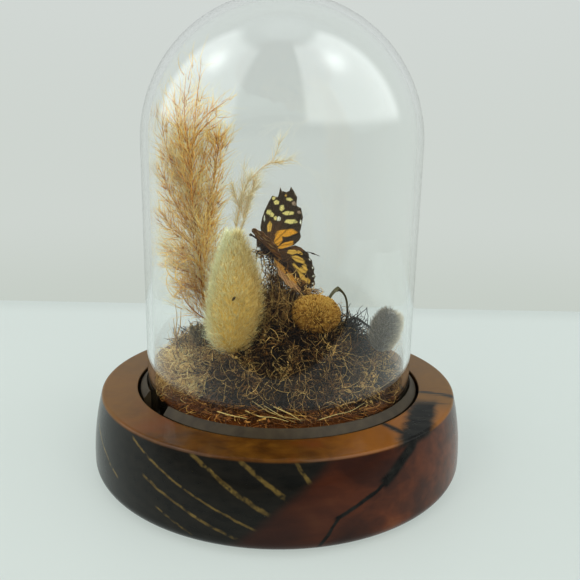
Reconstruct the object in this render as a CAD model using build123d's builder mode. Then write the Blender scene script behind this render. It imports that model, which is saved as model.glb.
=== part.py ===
from build123d import *
import os

# Bell jar dome: a plain glass cloche on a turned wooden base, with a dried arrangement inside.
# Millimetres, +Z up. The origin is the centre of the underside, and -Y is the viewing side.

# Driving dimensions: glass
DOME_RADIUS = 50.0
GLASS_WALL = 2.2
DOME_CENTRE_HEIGHT = 116.6
RIM_ROUNDING = 0.9

# Driving dimensions: turned base
BASE_HEIGHT = 29.1
BASE_TOP_RADIUS = 66.3
BASE_WIDE_RADIUS = 69.6
BASE_WIDE_HEIGHT = 5.4
BASE_FOOT_RADIUS = 65.4
TOP_EDGE_ROUNDING = 1.1
GROOVE_OUTER_RADIUS = 53.8
GROOVE_INNER_RADIUS = 46.0
GROOVE_DEPTH = 10.1
GROOVE_EDGE_ROUNDING = 0.4

# Driving dimensions: felt pad and seat strip
PAD_RADIUS = 60.0
PAD_THICKNESS = 1.0
STRIP_GLASS_CLEARANCE = 0.35
STRIP_WOOD_CLEARANCE = 1.0
STRIP_EDGE_ROUNDING = 0.3
STRIP_OUTER_HEIGHT = 28.6
STRIP_INNER_HEIGHT = 31.6
STRIP_GAP_START = -153.0
STRIP_GAP_END = -135.0

# Driving dimensions: bedding inside the glass
COIR_RADIUS = 45.6
COIR_THICKNESS = 1.0
FOAM_RADIUS = 26.0
FOAM_HEIGHT = 13.0
MOUND_CENTRE = (4.0, 2.0)
MOUND_HEIGHT = 24.0
MOUND_SEMI_X = 40.0
MOUND_SEMI_Y = 33.0
MOSS_PAD_CENTRE = (-30.0, -6.0)
MOSS_PAD_HEIGHT = 13.0
MOSS_PAD_SEMI_X = 15.5
MOSS_PAD_SEMI_Y = 17.0

# Driving dimensions: butterfly
WING_THICKNESS = 0.3
BODY_RADIUS = 1.7
HEAD_TIP = Vector(-9.0, -1.0, 83.4)
TAIL_TIP = Vector(7.0, -1.0, 68.5)
RIGHT_WING_SIDE = Vector(0.64, 0.342, 0.687)
LEFT_WING_SIDE = Vector(0.1, -0.985, 0.14)

# Worked-out sizes
GROOVE_FLOOR = BASE_HEIGHT - GROOVE_DEPTH
RIM_HEIGHT = GROOVE_FLOOR + 0.1
INNER_RADIUS = DOME_RADIUS - GLASS_WALL
BED_HEIGHT = BASE_HEIGHT + COIR_THICKNESS
STEM_FOOT = BED_HEIGHT + 6.0

os.makedirs("parts", exist_ok=True)


def save(part, label):
    """Names a finished piece and writes its file."""
    part.label = label
    export_step(part, f"parts/{label}.step")
    return part


def make_rod(label, foot, tip, radius):
    """A straight round stem, twig or wire from foot to tip."""
    run = Vector(*tip) - Vector(*foot)
    with BuildPart() as rod:
        with BuildSketch(Plane(origin=foot, z_dir=run)):
            Circle(radius)
        extrude(amount=run.length)
    return save(rod.part, label)


def make_head(label, base, tip, radius, widest, neck):
    """A seed head, plume or flower: a closed spindle turned about the line from base to tip.

    widest is the place of the largest radius along that line, from 0 at the base to 1 at the tip,
    and neck is the radius of the flat end that meets the stem.
    """
    start = Vector(*base)
    run = Vector(*tip) - start
    along = run.normalized()
    across = along.cross(Vector(0, 1, 0)).normalized()
    with BuildPart() as head:
        with BuildSketch(Plane(origin=start, x_dir=along, z_dir=across)):
            with BuildLine():
                outline = Spline(
                    (0, neck),
                    (run.length * widest, radius),
                    (run.length, 0),
                    tangents=[(0, 1), (0, -1)],
                    tangent_scalars=[0.6, 0.6],
                )
                Polyline(outline @ 1, (0, 0), outline @ 0)
            make_face()
        revolve(axis=Axis(start, run))
    return save(head.part, label)


def make_wing(label, corners, side, offset):
    """A thin wing membrane. Its corners are (distance towards the tail, distance out from the body)."""
    tailwards = (TAIL_TIP - HEAD_TIP).normalized()
    hinge = HEAD_TIP + tailwards * offset + side.normalized() * BODY_RADIUS
    with BuildPart() as wing:
        with BuildSketch(Plane(origin=hinge, x_dir=tailwards, z_dir=tailwards.cross(side))):
            with BuildLine():
                margin = Spline(*corners)
                Line(margin @ 1, margin @ 0)
            make_face()
        extrude(amount=WING_THICKNESS / 2, both=True)
    return save(wing.part, label)


# Felt pad glued under the base
with BuildPart() as felt_pad:
    with BuildSketch():
        Circle(PAD_RADIUS)
    extrude(amount=PAD_THICKNESS)
save(felt_pad.part, "felt_pad")

# Turned wooden base with the annular groove that takes the glass rim
with BuildPart() as base_block:
    with BuildSketch(Plane.XZ):
        with BuildLine():
            Line((0, PAD_THICKNESS), (BASE_FOOT_RADIUS, PAD_THICKNESS))
            TangentArc((BASE_FOOT_RADIUS, PAD_THICKNESS), (BASE_WIDE_RADIUS, BASE_WIDE_HEIGHT), tangent=(1, 0))
            TangentArc((BASE_WIDE_RADIUS, BASE_WIDE_HEIGHT), (BASE_TOP_RADIUS, BASE_HEIGHT), tangent=(0, 1))
            Polyline(
                (BASE_TOP_RADIUS, BASE_HEIGHT),
                (GROOVE_OUTER_RADIUS, BASE_HEIGHT),
                (GROOVE_OUTER_RADIUS, GROOVE_FLOOR),
                (GROOVE_INNER_RADIUS, GROOVE_FLOOR),
                (GROOVE_INNER_RADIUS, BASE_HEIGHT),
                (0, BASE_HEIGHT),
                (0, PAD_THICKNESS),
            )
        make_face()
    revolve(axis=Axis.Z)
    top_edges = base_block.edges().filter_by(GeomType.CIRCLE).group_by(Axis.Z)[-1].sort_by(SortBy.RADIUS)
    fillet(top_edges[-1], TOP_EDGE_ROUNDING)
    groove_edges = base_block.edges().filter_by(GeomType.CIRCLE).group_by(Axis.Z)[-1].sort_by(SortBy.RADIUS)
    fillet(groove_edges[0:2], GROOVE_EDGE_ROUNDING)
save(base_block.part, "base_block")

# Soft seat strip bent into the groove outside the glass, open between its two ends
strip_end = Plane(
    origin=(0, 0, 0),
    x_dir=Vector(1, 0, 0).rotate(Axis.Z, STRIP_GAP_END),
    z_dir=Vector(0, -1, 0).rotate(Axis.Z, STRIP_GAP_END),
)
with BuildPart() as seat_strip:
    with BuildSketch(strip_end):
        with BuildLine():
            Polyline(
                (DOME_RADIUS + STRIP_GLASS_CLEARANCE, GROOVE_FLOOR),
                (GROOVE_OUTER_RADIUS - STRIP_WOOD_CLEARANCE, GROOVE_FLOOR),
                (GROOVE_OUTER_RADIUS - STRIP_WOOD_CLEARANCE, STRIP_OUTER_HEIGHT),
                (DOME_RADIUS + STRIP_GLASS_CLEARANCE, STRIP_INNER_HEIGHT),
                close=True,
            )
        make_face()
    revolve(axis=Axis.Z, revolution_arc=360 - (STRIP_GAP_END - STRIP_GAP_START))
    fillet(seat_strip.edges().filter_by(GeomType.CIRCLE).group_by(Axis.Z)[-1], STRIP_EDGE_ROUNDING)
save(seat_strip.part, "seat_strip")

# Glass dome: a straight tube closed by a half sphere, with a rounded rim
with BuildPart() as glass_dome:
    with BuildSketch(Plane.XZ):
        with BuildLine():
            Line((DOME_RADIUS, RIM_HEIGHT), (DOME_RADIUS, DOME_CENTRE_HEIGHT))
            RadiusArc(
                (DOME_RADIUS, DOME_CENTRE_HEIGHT), (0, DOME_CENTRE_HEIGHT + DOME_RADIUS), -DOME_RADIUS
            )
            Line((0, DOME_CENTRE_HEIGHT + DOME_RADIUS), (0, DOME_CENTRE_HEIGHT + INNER_RADIUS))
            RadiusArc(
                (0, DOME_CENTRE_HEIGHT + INNER_RADIUS), (INNER_RADIUS, DOME_CENTRE_HEIGHT), INNER_RADIUS
            )
            Polyline((INNER_RADIUS, DOME_CENTRE_HEIGHT), (INNER_RADIUS, RIM_HEIGHT), (DOME_RADIUS, RIM_HEIGHT))
        make_face()
    revolve(axis=Axis.Z)
    fillet(glass_dome.edges().filter_by(GeomType.CIRCLE).group_by(Axis.Z)[0], RIM_ROUNDING)
save(glass_dome.part, "glass_dome")

# Plant stems, which all stand in the foam: label, foot, tip, radius
tall_reed = ("reed_stem_tall", (-20.0, 6.0, STEM_FOOT), (-29.0, 5.0, 62.0), 0.8)
short_reed = ("reed_stem_short", (-12.0, 8.0, STEM_FOOT), (-16.0, 8.0, 83.0), 0.5)
bunny_tail = ("bunny_tail_stem", (-13.0, -8.0, STEM_FOOT), (-16.6, -18.0, 43.4), 0.7)
button_flower = ("button_flower_stem", (11.0, -2.0, STEM_FOOT), (13.7, -9.5, 51.6), 0.8)
willow_catkin = ("catkin_stem", (24.0, -4.0, STEM_FOOT), (37.0, -10.5, 44.6), 0.6)
mount_wire = ("butterfly_wire", (2.0, 2.0, STEM_FOOT), (-1.2, -1.0, 74.0), 0.4)
stems = [make_rod(*row) for row in (tall_reed, short_reed, bunny_tail, button_flower, willow_catkin, mount_wire)]

# Plumes and heads: label, base, tip, largest radius, where it is widest, radius at the stem
reed_plume_tall = make_head("reed_plume_tall", tall_reed[2], (-36.0, 0.0, 142.0), 9.0, 0.4, 0.8)
reed_plume_short = make_head("reed_plume_short", short_reed[2], (-1.0, 8.0, 121.0), 4.0, 0.45, 0.5)
bunny_tail_head = make_head("bunny_tail_head", bunny_tail[2], (-15.4, -18.0, 89.5), 10.4, 0.34, 1.0)
button_flower_head = make_head("button_flower_head", button_flower[2], (13.7, -13.5, 65.0), 9.4, 0.5, 1.0)
willow_catkin_head = make_head("catkin_head", willow_catkin[2], (40.6, -12.0, 58.4), 5.5, 0.45, 0.6)
brown_bud = make_head("brown_bud", (-29.0, -12.5, 45.0), (-30.0, -13.5, 53.0), 2.4, 0.4, 0.6)

# A curled dry leaf standing as a small arch
LEAF_ARCH_CENTRE = (22.1, 59.8)
LEAF_ARCH_RADIUS = 3.8
LEAF_THICKNESS = 0.6
LEAF_WIDTH = 2.6
LEAF_LEG_LENGTH = 12.0
with BuildPart() as curled_leaf:
    with BuildSketch(Plane.XZ):
        with Locations(LEAF_ARCH_CENTRE):
            Circle(LEAF_ARCH_RADIUS)
        with Locations((LEAF_ARCH_CENTRE[0], LEAF_ARCH_CENTRE[1] - LEAF_LEG_LENGTH / 2)):
            Rectangle(2 * LEAF_ARCH_RADIUS, LEAF_LEG_LENGTH)
        with Locations(LEAF_ARCH_CENTRE):
            Circle(LEAF_ARCH_RADIUS - LEAF_THICKNESS, mode=Mode.SUBTRACT)
        with Locations((LEAF_ARCH_CENTRE[0], LEAF_ARCH_CENTRE[1] - LEAF_LEG_LENGTH / 2)):
            Rectangle(2 * (LEAF_ARCH_RADIUS - LEAF_THICKNESS), LEAF_LEG_LENGTH, mode=Mode.SUBTRACT)
    extrude(amount=LEAF_WIDTH / 2, both=True)
save(curled_leaf.part, "curled_leaf")

# Wiry dark twigs fanning out of the moss behind the catkin, and a forked grass sprig on the left
TWIG_RADIUS = 0.35
TWIG_RUNS = [
    ((23.0, -3.0, 46.0), (27.5, -9.0, 57.0)),
    ((24.0, 2.0, 43.0), (33.0, -6.0, 55.0)),
    ((26.0, 4.0, 41.0), (38.0, 0.0, 52.0)),
    ((27.0, 8.0, 39.0), (37.0, 8.0, 48.0)),
]
SPRIG_RUNS = [
    ((-38.0, -8.0, 39.0), (-39.0, -8.5, 56.0)),
    ((-36.5, -6.5, 39.0), (-34.0, -7.0, 54.0)),
]
STRAW_RADIUS = 0.4
STRAW_RUNS = [
    ((-12.0, -39.5, 30.6), (6.0, -43.5, 30.6)),
    ((-9.0, -41.5, 30.6), (3.0, -44.6, 30.6)),
    ((12.0, -43.3, 30.6), (32.0, -30.0, 30.6)),
]


def make_rods(label, runs, radius):
    """A group of thin straight pieces that don't touch one another."""
    with BuildPart() as group:
        for foot, tip in runs:
            run = Vector(*tip) - Vector(*foot)
            with BuildSketch(Plane(origin=foot, z_dir=run)):
                Circle(radius)
            extrude(amount=run.length)
    return save(group.part, label)


wiry_twigs = make_rods("wiry_twigs", TWIG_RUNS, TWIG_RADIUS)
grass_sprig = make_rods("grass_sprig", SPRIG_RUNS, TWIG_RADIUS)
loose_straws = make_rods("loose_straws", STRAW_RUNS, STRAW_RADIUS)

# Bedding: a mat of coir on the wood, a block of florist's foam on it, and moss packed over the foam
with BuildPart() as coir_mat:
    with BuildSketch(Plane.XY.offset(BASE_HEIGHT)):
        Circle(COIR_RADIUS)
    extrude(amount=COIR_THICKNESS)
    add(loose_straws, mode=Mode.SUBTRACT)
save(coir_mat.part, "coir_mat")

with BuildPart() as foam_core:
    with BuildSketch(Plane.XY.offset(BED_HEIGHT)):
        with Locations(MOUND_CENTRE):
            Circle(FOAM_RADIUS)
    extrude(amount=FOAM_HEIGHT)
    fillet(foam_core.faces().sort_by(Axis.Z)[-1].edges(), 3.0)
    foam_blank = foam_core.part
    add(stems, mode=Mode.SUBTRACT)
    add(wiry_twigs, mode=Mode.SUBTRACT)
save(foam_core.part, "foam_core")

MOUND_STEPS = [(0.0, 1.0), (0.4, 0.94), (0.75, 0.72), (1.0, 0.36)]


def loft_mound(centre, semi_x, semi_y, height):
    """A heap of moss: ellipses stacked from the bed up, as (share of the height, share of the width)."""
    with BuildPart() as heap:
        for rise, width in MOUND_STEPS:
            with BuildSketch(Plane.XY.offset(BED_HEIGHT + rise * height)):
                with Locations(centre):
                    Ellipse(semi_x * width, semi_y * width)
        loft()
    return heap.part


planted = [*stems, bunny_tail_head, button_flower_head, willow_catkin_head, reed_plume_tall, brown_bud]
planted += [curled_leaf.part, wiry_twigs, grass_sprig]

mound_blank = loft_mound(MOUND_CENTRE, MOUND_SEMI_X, MOUND_SEMI_Y, MOUND_HEIGHT)
with BuildPart() as moss_mound:
    add(mound_blank)
    add(foam_blank, mode=Mode.SUBTRACT)
    add(planted, mode=Mode.SUBTRACT)
save(moss_mound.part, "moss_mound")

with BuildPart() as moss_pad:
    add(loft_mound(MOSS_PAD_CENTRE, MOSS_PAD_SEMI_X, MOSS_PAD_SEMI_Y, MOSS_PAD_HEIGHT))
    add(mound_blank, mode=Mode.SUBTRACT)
    add(planted, mode=Mode.SUBTRACT)
save(moss_pad.part, "moss_pad_left")

# Butterfly: one turned body, four membranes, two antennae and a group of legs
tailwards = (TAIL_TIP - HEAD_TIP).normalized()
body_length = (TAIL_TIP - HEAD_TIP).length
with BuildPart() as butterfly_body:
    with BuildSketch(Plane(origin=HEAD_TIP, x_dir=tailwards, z_dir=tailwards.cross(Vector(0, 1, 0)))):
        with BuildLine():
            body_outline = Spline(
                (0, 0),
                (1.2, 1.1),
                (2.4, 0.8),
                (5.2, BODY_RADIUS),
                (8.6, 1.0),
                (13.0, 1.3),
                (body_length, 0),
            )
            Line(body_outline @ 1, body_outline @ 0)
        make_face()
    revolve(axis=Axis(HEAD_TIP, tailwards))
save(butterfly_body.part, "butterfly_body")

# Wing corners: (distance towards the tail, distance out from the body)
FOREWING = [
    (0.0, 0.2),
    (-7.4, 4.6),
    (-10.6, 12.4),
    (-10.4, 18.6),
    (-7.0, 21.2),
    (-1.6, 18.9),
    (3.2, 16.0),
    (6.6, 10.6),
    (5.4, 5.2),
    (3.2, 0.8),
]
HINDWING = [(1.4, 0.2), (4.2, 5.8), (8.0, 8.2), (12.6, 7.2), (17.0, 4.8), (19.0, 1.8), (17.4, 0.2)]
FOREWING_OFFSET = 4.5
HINDWING_OFFSET = 7.5
make_wing("forewing_right", FOREWING, RIGHT_WING_SIDE, FOREWING_OFFSET)
make_wing("hindwing_right", HINDWING, RIGHT_WING_SIDE, HINDWING_OFFSET)
make_wing("forewing_left", FOREWING, LEFT_WING_SIDE, FOREWING_OFFSET)
make_wing("hindwing_left", HINDWING, LEFT_WING_SIDE, HINDWING_OFFSET)

ANTENNA_RADIUS = 0.2
ANTENNA_REACH = Vector(-2.6, 0, 3.0)
ANTENNA_FEET = {"antenna_left": Vector(-9.2, -1.5, 83.6), "antenna_right": Vector(-9.2, -0.5, 83.6)}
for label, foot in ANTENNA_FEET.items():
    make_rod(label, tuple(foot), tuple(foot + ANTENNA_REACH), ANTENNA_RADIUS)

LEG_RADIUS = 0.2
LEG_RUNS = [
    ((-6.9, -2.0, 79.0), (-8.8, -5.0, 75.0)),
    ((-5.5, -2.0, 77.7), (-6.4, -5.2, 73.0)),
    ((-4.3, -2.0, 76.6), (-3.4, -5.4, 71.4)),
    ((-5.5, 0.0, 77.7), (-6.0, 3.2, 73.0)),
    ((-4.3, 0.0, 76.6), (-3.2, 3.4, 71.4)),
]
make_rods("butterfly_legs", LEG_RUNS, LEG_RADIUS)
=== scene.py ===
"""Looks for the bell jar dome: glass on a varnished wooden base over a dried arrangement.

Metres, +Z up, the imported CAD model's frame. The camera looks along +Y. Lengths named *_MM and
point lists in millimetres are scaled by MM.
"""

import math
from functools import reduce
import bpy
import numpy as np
from mathutils import Matrix, Vector


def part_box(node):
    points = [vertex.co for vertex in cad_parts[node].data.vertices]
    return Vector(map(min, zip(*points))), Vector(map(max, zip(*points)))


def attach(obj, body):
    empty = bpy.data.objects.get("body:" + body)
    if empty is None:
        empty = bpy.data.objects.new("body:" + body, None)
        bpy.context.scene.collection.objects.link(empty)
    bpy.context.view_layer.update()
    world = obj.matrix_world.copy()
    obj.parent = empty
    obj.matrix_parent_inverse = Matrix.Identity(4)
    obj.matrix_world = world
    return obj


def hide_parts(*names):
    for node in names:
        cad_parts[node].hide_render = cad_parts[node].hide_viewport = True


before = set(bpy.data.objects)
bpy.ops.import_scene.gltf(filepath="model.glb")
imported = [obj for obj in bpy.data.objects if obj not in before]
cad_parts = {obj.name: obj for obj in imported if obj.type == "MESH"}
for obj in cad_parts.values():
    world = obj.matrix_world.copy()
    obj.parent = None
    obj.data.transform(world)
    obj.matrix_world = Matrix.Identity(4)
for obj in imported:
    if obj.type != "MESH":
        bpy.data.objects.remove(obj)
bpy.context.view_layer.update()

MM = 0.001
SEED = 2024

# Sizes read from the frame
glass_low, glass_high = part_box("glass_dome")
GLASS_WALL = 2.2 * MM
GLASS_GAP = 0.6 * MM
DOME_RADIUS = (glass_high.x - glass_low.x) / 2
DOME_CENTRE_Z = glass_high.z - DOME_RADIUS
INNER_RADIUS = DOME_RADIUS - GLASS_WALL
BASE_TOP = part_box("base_block")[1].z
# The bed the moss grows from, as a shift of points that are measured from it
BED = np.array([0, 0, BASE_TOP + 1.0 * MM])


# ---------------------------------------------------------------- small helpers


def random_source(label):
    """The same random numbers every run, with a stream of its own for each piece."""
    return np.random.default_rng([SEED, *label.encode()])


def unit(vectors):
    """Vectors scaled to length one along the last axis."""
    length = np.linalg.norm(vectors, axis=-1, keepdims=True)
    return vectors / np.maximum(length, 1e-12)


def curve_through(points, count):
    """count points in metres along a smooth curve through given points in millimetres."""
    points = np.asarray(points, float)
    padded = np.vstack([2 * points[0] - points[1], points, 2 * points[-1] - points[-2]])
    places = np.linspace(0, len(points) - 1, count)
    spans = np.minimum(places.astype(int), len(points) - 2)
    t = (places - spans)[:, None]
    a, b, c, d = (padded[spans + i] for i in range(4))
    line = 0.5 * (2 * b + (c - a) * t + (2 * a - 5 * b + 4 * c - d) * t**2 + (3 * b - a - 3 * c + d) * t**3)
    return line * MM


def keep_in_glass(points):
    """Pulls points that would pass through the glass back to just inside it."""
    limit = INNER_RADIUS - GLASS_GAP
    flat = np.linalg.norm(points[..., :2], axis=-1, keepdims=True)
    points[..., :2] *= np.minimum(1, limit / np.maximum(flat, 1e-9))
    centre = np.array([0, 0, DOME_CENTRE_Z])
    offset = points - centre
    reach = np.linalg.norm(offset, axis=-1, keepdims=True)
    pulled = centre + offset * np.minimum(1, limit / np.maximum(reach, 1e-9))
    return np.where(points[..., 2:] > DOME_CENTRE_Z, pulled, points)


def add_piece(name, verts, faces, material, nodes=(), tones=None, colours=None, body="base"):
    """A mesh object that rides on a body and stands in for some CAD nodes.

    tones is one number per vertex, colours one RGB per vertex.
    """
    mesh = bpy.data.meshes.new(name)
    mesh.from_pydata(np.asarray(verts).tolist(), [], faces)
    mesh.polygons.foreach_set("use_smooth", [True] * len(mesh.polygons))
    if tones is not None:
        colours = np.repeat(np.asarray(tones)[:, None], 3, axis=1)
    if colours is not None:
        rgba = np.hstack([colours, np.ones((len(colours), 1))])
        layer = mesh.attributes.new("tone", "FLOAT_COLOR", "POINT")
        layer.data.foreach_set("color", rgba.ravel())
    mesh.materials.append(material)
    piece = bpy.data.objects.new(name, mesh)
    bpy.context.scene.collection.objects.link(piece)
    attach(piece, body)
    if nodes:
        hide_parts(*nodes)


def add_parts(name, parts, material, slot, *nodes):
    """One piece made of several (vertices, faces, tones), in place of some CAD nodes."""
    verts, faces, tones = join_arrays(parts)
    add_piece(name, verts, faces, material, nodes, tones=tones)


def even_angles(count):
    """Angles in radians, evenly spaced round a circle."""
    return 2 * math.pi * np.arange(count) / count


def ring_faces(rows, sides, closed=False):
    """Faces between rings of vertices stacked upwards; closed joins the last ring to the first."""
    faces = []
    for row in range(rows if closed else rows - 1):
        here, there = row * sides, (row + 1) % rows * sides
        for side in range(sides):
            after = (side + 1) % sides
            faces.append([here + side, here + after, there + after, there + side])
    return faces


def end_faces(rows, sides):
    """The two faces that close a stack of rings."""
    return [list(range(sides))[::-1], [(rows - 1) * sides + side for side in range(sides)]]


def strand_arrays(paths, radii, tones, rng, sides=3, flatness=1.0):
    """Vertices, faces and tones of closed, tapered tubes along paths (strand, point, xyz).

    tones holds one number per strand, or one per point of each strand.
    """
    strands, points, _ = paths.shape
    tangents = unit(np.gradient(paths, axis=1))
    reference = unit(rng.normal(size=(strands, 1, 3)))
    across = unit(np.cross(tangents, reference))
    other = np.cross(tangents, across)
    angles = even_angles(sides)
    ring = (
        np.cos(angles)[:, None] * across[:, :, None, :]
        + flatness * np.sin(angles)[:, None] * other[:, :, None, :]
    )
    verts = (paths[:, :, None, :] + radii[:, :, None, None] * ring).reshape(-1, 3)
    first = (np.arange(strands) * points * sides)[:, None, None]
    level = (np.arange(points - 1) * sides)[None, :, None]
    side = np.arange(sides)[None, None, :]
    after = (side + 1) % sides
    low = first + level
    quads = np.stack([low + side, low + after, low + sides + after, low + sides + side], axis=-1)
    start_caps = (first[:, 0] + np.arange(sides)[::-1]).reshape(-1, sides)
    end_caps = (first[:, 0] + (points - 1) * sides + np.arange(sides)).reshape(-1, sides)
    faces = quads.reshape(-1, 4).tolist() + start_caps.tolist() + end_caps.tolist()
    if tones.ndim == 1:
        tones = np.repeat(tones[:, None], points, axis=1)
    return verts, faces, np.repeat(tones.ravel(), sides)


def join_arrays(parts):
    """Several (vertices, faces, tones) as one."""
    verts, faces, tones, shift = [], [], [], 0
    for part_verts, part_faces, part_tones in parts:
        verts.append(part_verts)
        faces += [[corner + shift for corner in face] for face in part_faces]
        tones.append(part_tones)
        shift += len(part_verts)
    return np.vstack(verts), faces, np.concatenate(tones)


def taper(count, points, thick, thin, rng, spread=0.25):
    """Radii (strand, point) that shrink from thick to thin, each strand a little different."""
    along = np.linspace(0, 1, points)[None, :]
    width = 1 + spread * rng.uniform(-1, 1, size=(count, 1))
    return (thick + (thin - thick) * along**1.3) * width


def grow(starts, headings, lengths, steps, rng, curl=0.0, wander=0.1, pull=(0, 0, 0)):
    """Walks strands from their starts. curl turns each one steadily, wander jitters it, pull bends all."""
    count = len(starts)
    heading = unit(np.asarray(headings, float))
    axis = unit(rng.normal(size=(count, 3)))
    turn = curl * rng.uniform(0.3, 1.0, size=(count, 1))
    stride = (np.asarray(lengths) / steps)[:, None]
    points = [np.asarray(starts, float)]
    for _ in range(steps):
        jitter = wander * rng.normal(size=(count, 3))
        heading = unit(heading + turn * np.cross(axis, heading) + jitter + np.asarray(pull))
        points.append(points[-1] + heading * stride)
    return np.stack(points, axis=1)


def lathe(profile, segments, closed=True):
    """Vertices and faces of a profile [(radius, height), ...] turned about Z."""
    profile = np.asarray(profile, float)
    angles = even_angles(segments)
    rings = np.stack(
        [
            profile[:, None, 0] * np.cos(angles),
            profile[:, None, 0] * np.sin(angles),
            np.repeat(profile[:, 1][:, None], segments, axis=1),
        ],
        axis=-1,
    )
    return rings.reshape(-1, 3), ring_faces(len(profile), segments, closed)


# ---------------------------------------------------------------- shader helpers


def put(tree, kind, inputs=None, **settings):
    """Adds a shader node. An input is a plain value or another node's output."""
    made = tree.nodes.new("ShaderNode" + kind)
    for name, value in settings.items():
        setattr(made, name, value)
    for name, value in (inputs or {}).items():
        if isinstance(value, bpy.types.NodeSocket):
            tree.links.new(value, made.inputs[name])
        else:
            made.inputs[name].default_value = value
    return made


def calc(tree, operation, *values):
    """The output of a Math node."""
    return put(tree, "Math", dict(enumerate(values)), operation=operation).outputs[0]


def times(tree, *values):
    """The product of several values."""
    return reduce(lambda one, other: calc(tree, "MULTIPLY", one, other), values)


def plus(tree, one, other):
    """The sum of two values."""
    return calc(tree, "ADD", one, other)


def minus(tree, one, other):
    """The first value less the second."""
    return calc(tree, "SUBTRACT", one, other)


def smooth_step(tree, value, low, high):
    """0 below low, 1 above high, smooth between. low may be above high."""
    limits = {"Value": value, "From Min": low, "From Max": high}
    return put(tree, "MapRange", limits, interpolation_type="SMOOTHSTEP").outputs[0]


def window(tree, value, low, high, edge):
    """1 from low to high, fading over edge on each side of both ends."""
    rise = smooth_step(tree, value, low - edge, low + edge)
    return times(tree, rise, smooth_step(tree, value, high + edge, high - edge))


def ramp(tree, factor, stops):
    """A colour ramp's colour. stops is [(place, (r, g, b)), ...]."""
    made = put(tree, "ValToRGB", {"Fac": factor})
    elements = made.color_ramp.elements
    while len(elements) < len(stops):
        elements.new(0.5)
    for element, (place, colour) in zip(elements, stops):
        element.position = place
        element.color = (*colour, 1)
    return made.outputs["Color"]


def blend_colours(tree, factor, first, second):
    """Two colours mixed; each is an output or an (r, g, b)."""
    made = put(tree, "Mix", data_type="RGBA")
    for socket, value in ((made.inputs[0], factor), (made.inputs[6], first), (made.inputs[7], second)):
        if isinstance(value, bpy.types.NodeSocket):
            tree.links.new(value, socket)
        else:
            socket.default_value = value if socket.type == "VALUE" else (*value, 1)
    return made.outputs[2]


def new_material(name):
    """An empty node material and its output node."""
    material = bpy.data.materials.new(name)
    material.use_nodes = True
    material.node_tree.nodes.clear()
    return material, put(material.node_tree, "OutputMaterial")


def object_noise(tree, scale, detail=3.0, stretch=(1, 1, 1), distortion=0.0):
    """Noise over the object's own coordinates, scale in cells per metre."""
    place = put(tree, "TexCoord").outputs["Object"]
    spread = put(tree, "Mapping", {"Vector": place, "Scale": stretch}).outputs[0]
    inputs = {"Vector": spread, "Scale": scale, "Detail": detail, "Distortion": distortion}
    return put(tree, "TexNoise", inputs).outputs["Fac"]


def bump(tree, height, distance, strength=1.0):
    """A bump normal from a height output, distance in metres."""
    return put(tree, "Bump", {"Height": height, "Distance": distance, "Strength": strength}).outputs[0]


def finish_surface(tree, output, settings):
    """A Principled shader with these inputs, wired to the output."""
    shader = put(tree, "BsdfPrincipled", settings)
    tree.links.new(shader.outputs[0], output.inputs["Surface"])


def plain_material(name, texture, stops, settings, depth, strength, grain=None):
    """A one-texture surface: the texture's value picks the colour, and the grain makes a bump.

    texture and grain build their outputs in the tree; without a grain the texture is the bump too.
    depth is the bump's, in metres.
    """
    material, output = new_material(name)
    tree = material.node_tree
    value = texture(tree)
    height = grain(tree) if grain else value
    shared = {"Base Color": ramp(tree, value, stops), "Normal": bump(tree, height, depth, strength)}
    finish_surface(tree, output, {**shared, **settings})
    return material


def fibre_material(name, stops, roughness=0.7, mottle=0.25, scale=900, sheen=0.0, gloss=0.25):
    """Dry plant fibre: the strand's own tone picks a colour, and fine noise breaks it up."""
    material, output = new_material(name)
    tree = material.node_tree
    tone = put(tree, "Attribute", attribute_name="tone").outputs["Fac"]
    noise = object_noise(tree, scale, detail=4)
    shifted = plus(tree, tone, times(tree, minus(tree, noise, 0.5), mottle))
    settings = {
        "Base Color": ramp(tree, shifted, stops),
        "Roughness": roughness,
        "Specular IOR Level": gloss,
        "Sheen Weight": sheen,
        "Normal": bump(tree, noise, 0.05 * MM, 0.6),
    }
    finish_surface(tree, output, settings)
    return material


# ---------------------------------------------------------------- camera, light and floor

CAMERA_PLACE_MM = (3.7, -211.2, 109.1)
CAMERA_PITCH = math.radians(12.15)
CAMERA_ROLL = math.radians(1.13)
CAMERA_LENS_MM = 35.12


def make_camera():
    """The viewing angle: close, a little above the butterfly, looking down."""
    data = bpy.data.cameras.new("camera")
    data.lens = CAMERA_LENS_MM
    data.sensor_width = 36.0
    data.clip_start = 0.01
    data.clip_end = 20.0
    camera = bpy.data.objects.new("camera", data)
    forward = Vector((0, math.cos(CAMERA_PITCH), -math.sin(CAMERA_PITCH)))
    level_right = Vector((1, 0, 0))
    level_up = level_right.cross(forward)
    right = math.cos(CAMERA_ROLL) * level_right + math.sin(CAMERA_ROLL) * level_up
    up = right.cross(forward)
    turn = Matrix((right, up, -forward)).transposed().to_4x4()
    camera.matrix_world = Matrix.Translation(Vector(CAMERA_PLACE_MM) * MM) @ turn
    bpy.context.scene.collection.objects.link(camera)
    bpy.context.scene.camera = camera


# Soft boxes on both sides: azimuths from the camera's side towards +X, elevations, and the place of
# the hot spot, all in degrees; then the brightness of the panel
SOFT_BOXES = [((-112, -38), (12, 68), (-79, 50), 0.79), ((19, 106), (15, 74), (65, 56), 1.0)]
BOX_EDGE = 4.0
BOX_COLOUR = (0.96, 1.0, 1.0, 1)
BOX_GLOW = 1.65
HOT_SPOT_GLOW = 2.6
HOT_SPOT_POWER = 110.0
WALL_LOW_COLOUR = (0.615, 0.66, 0.612)
WALL_COLOUR = (0.665, 0.705, 0.672)
WALL_HIGH_COLOUR = (0.70, 0.735, 0.72)
ROOM_COLOUR = (0.38, 0.40, 0.39)
DARK_COLOUR = (0.09, 0.093, 0.09)
CEILING_COLOUR = (0.8, 0.84, 0.84)


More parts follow.
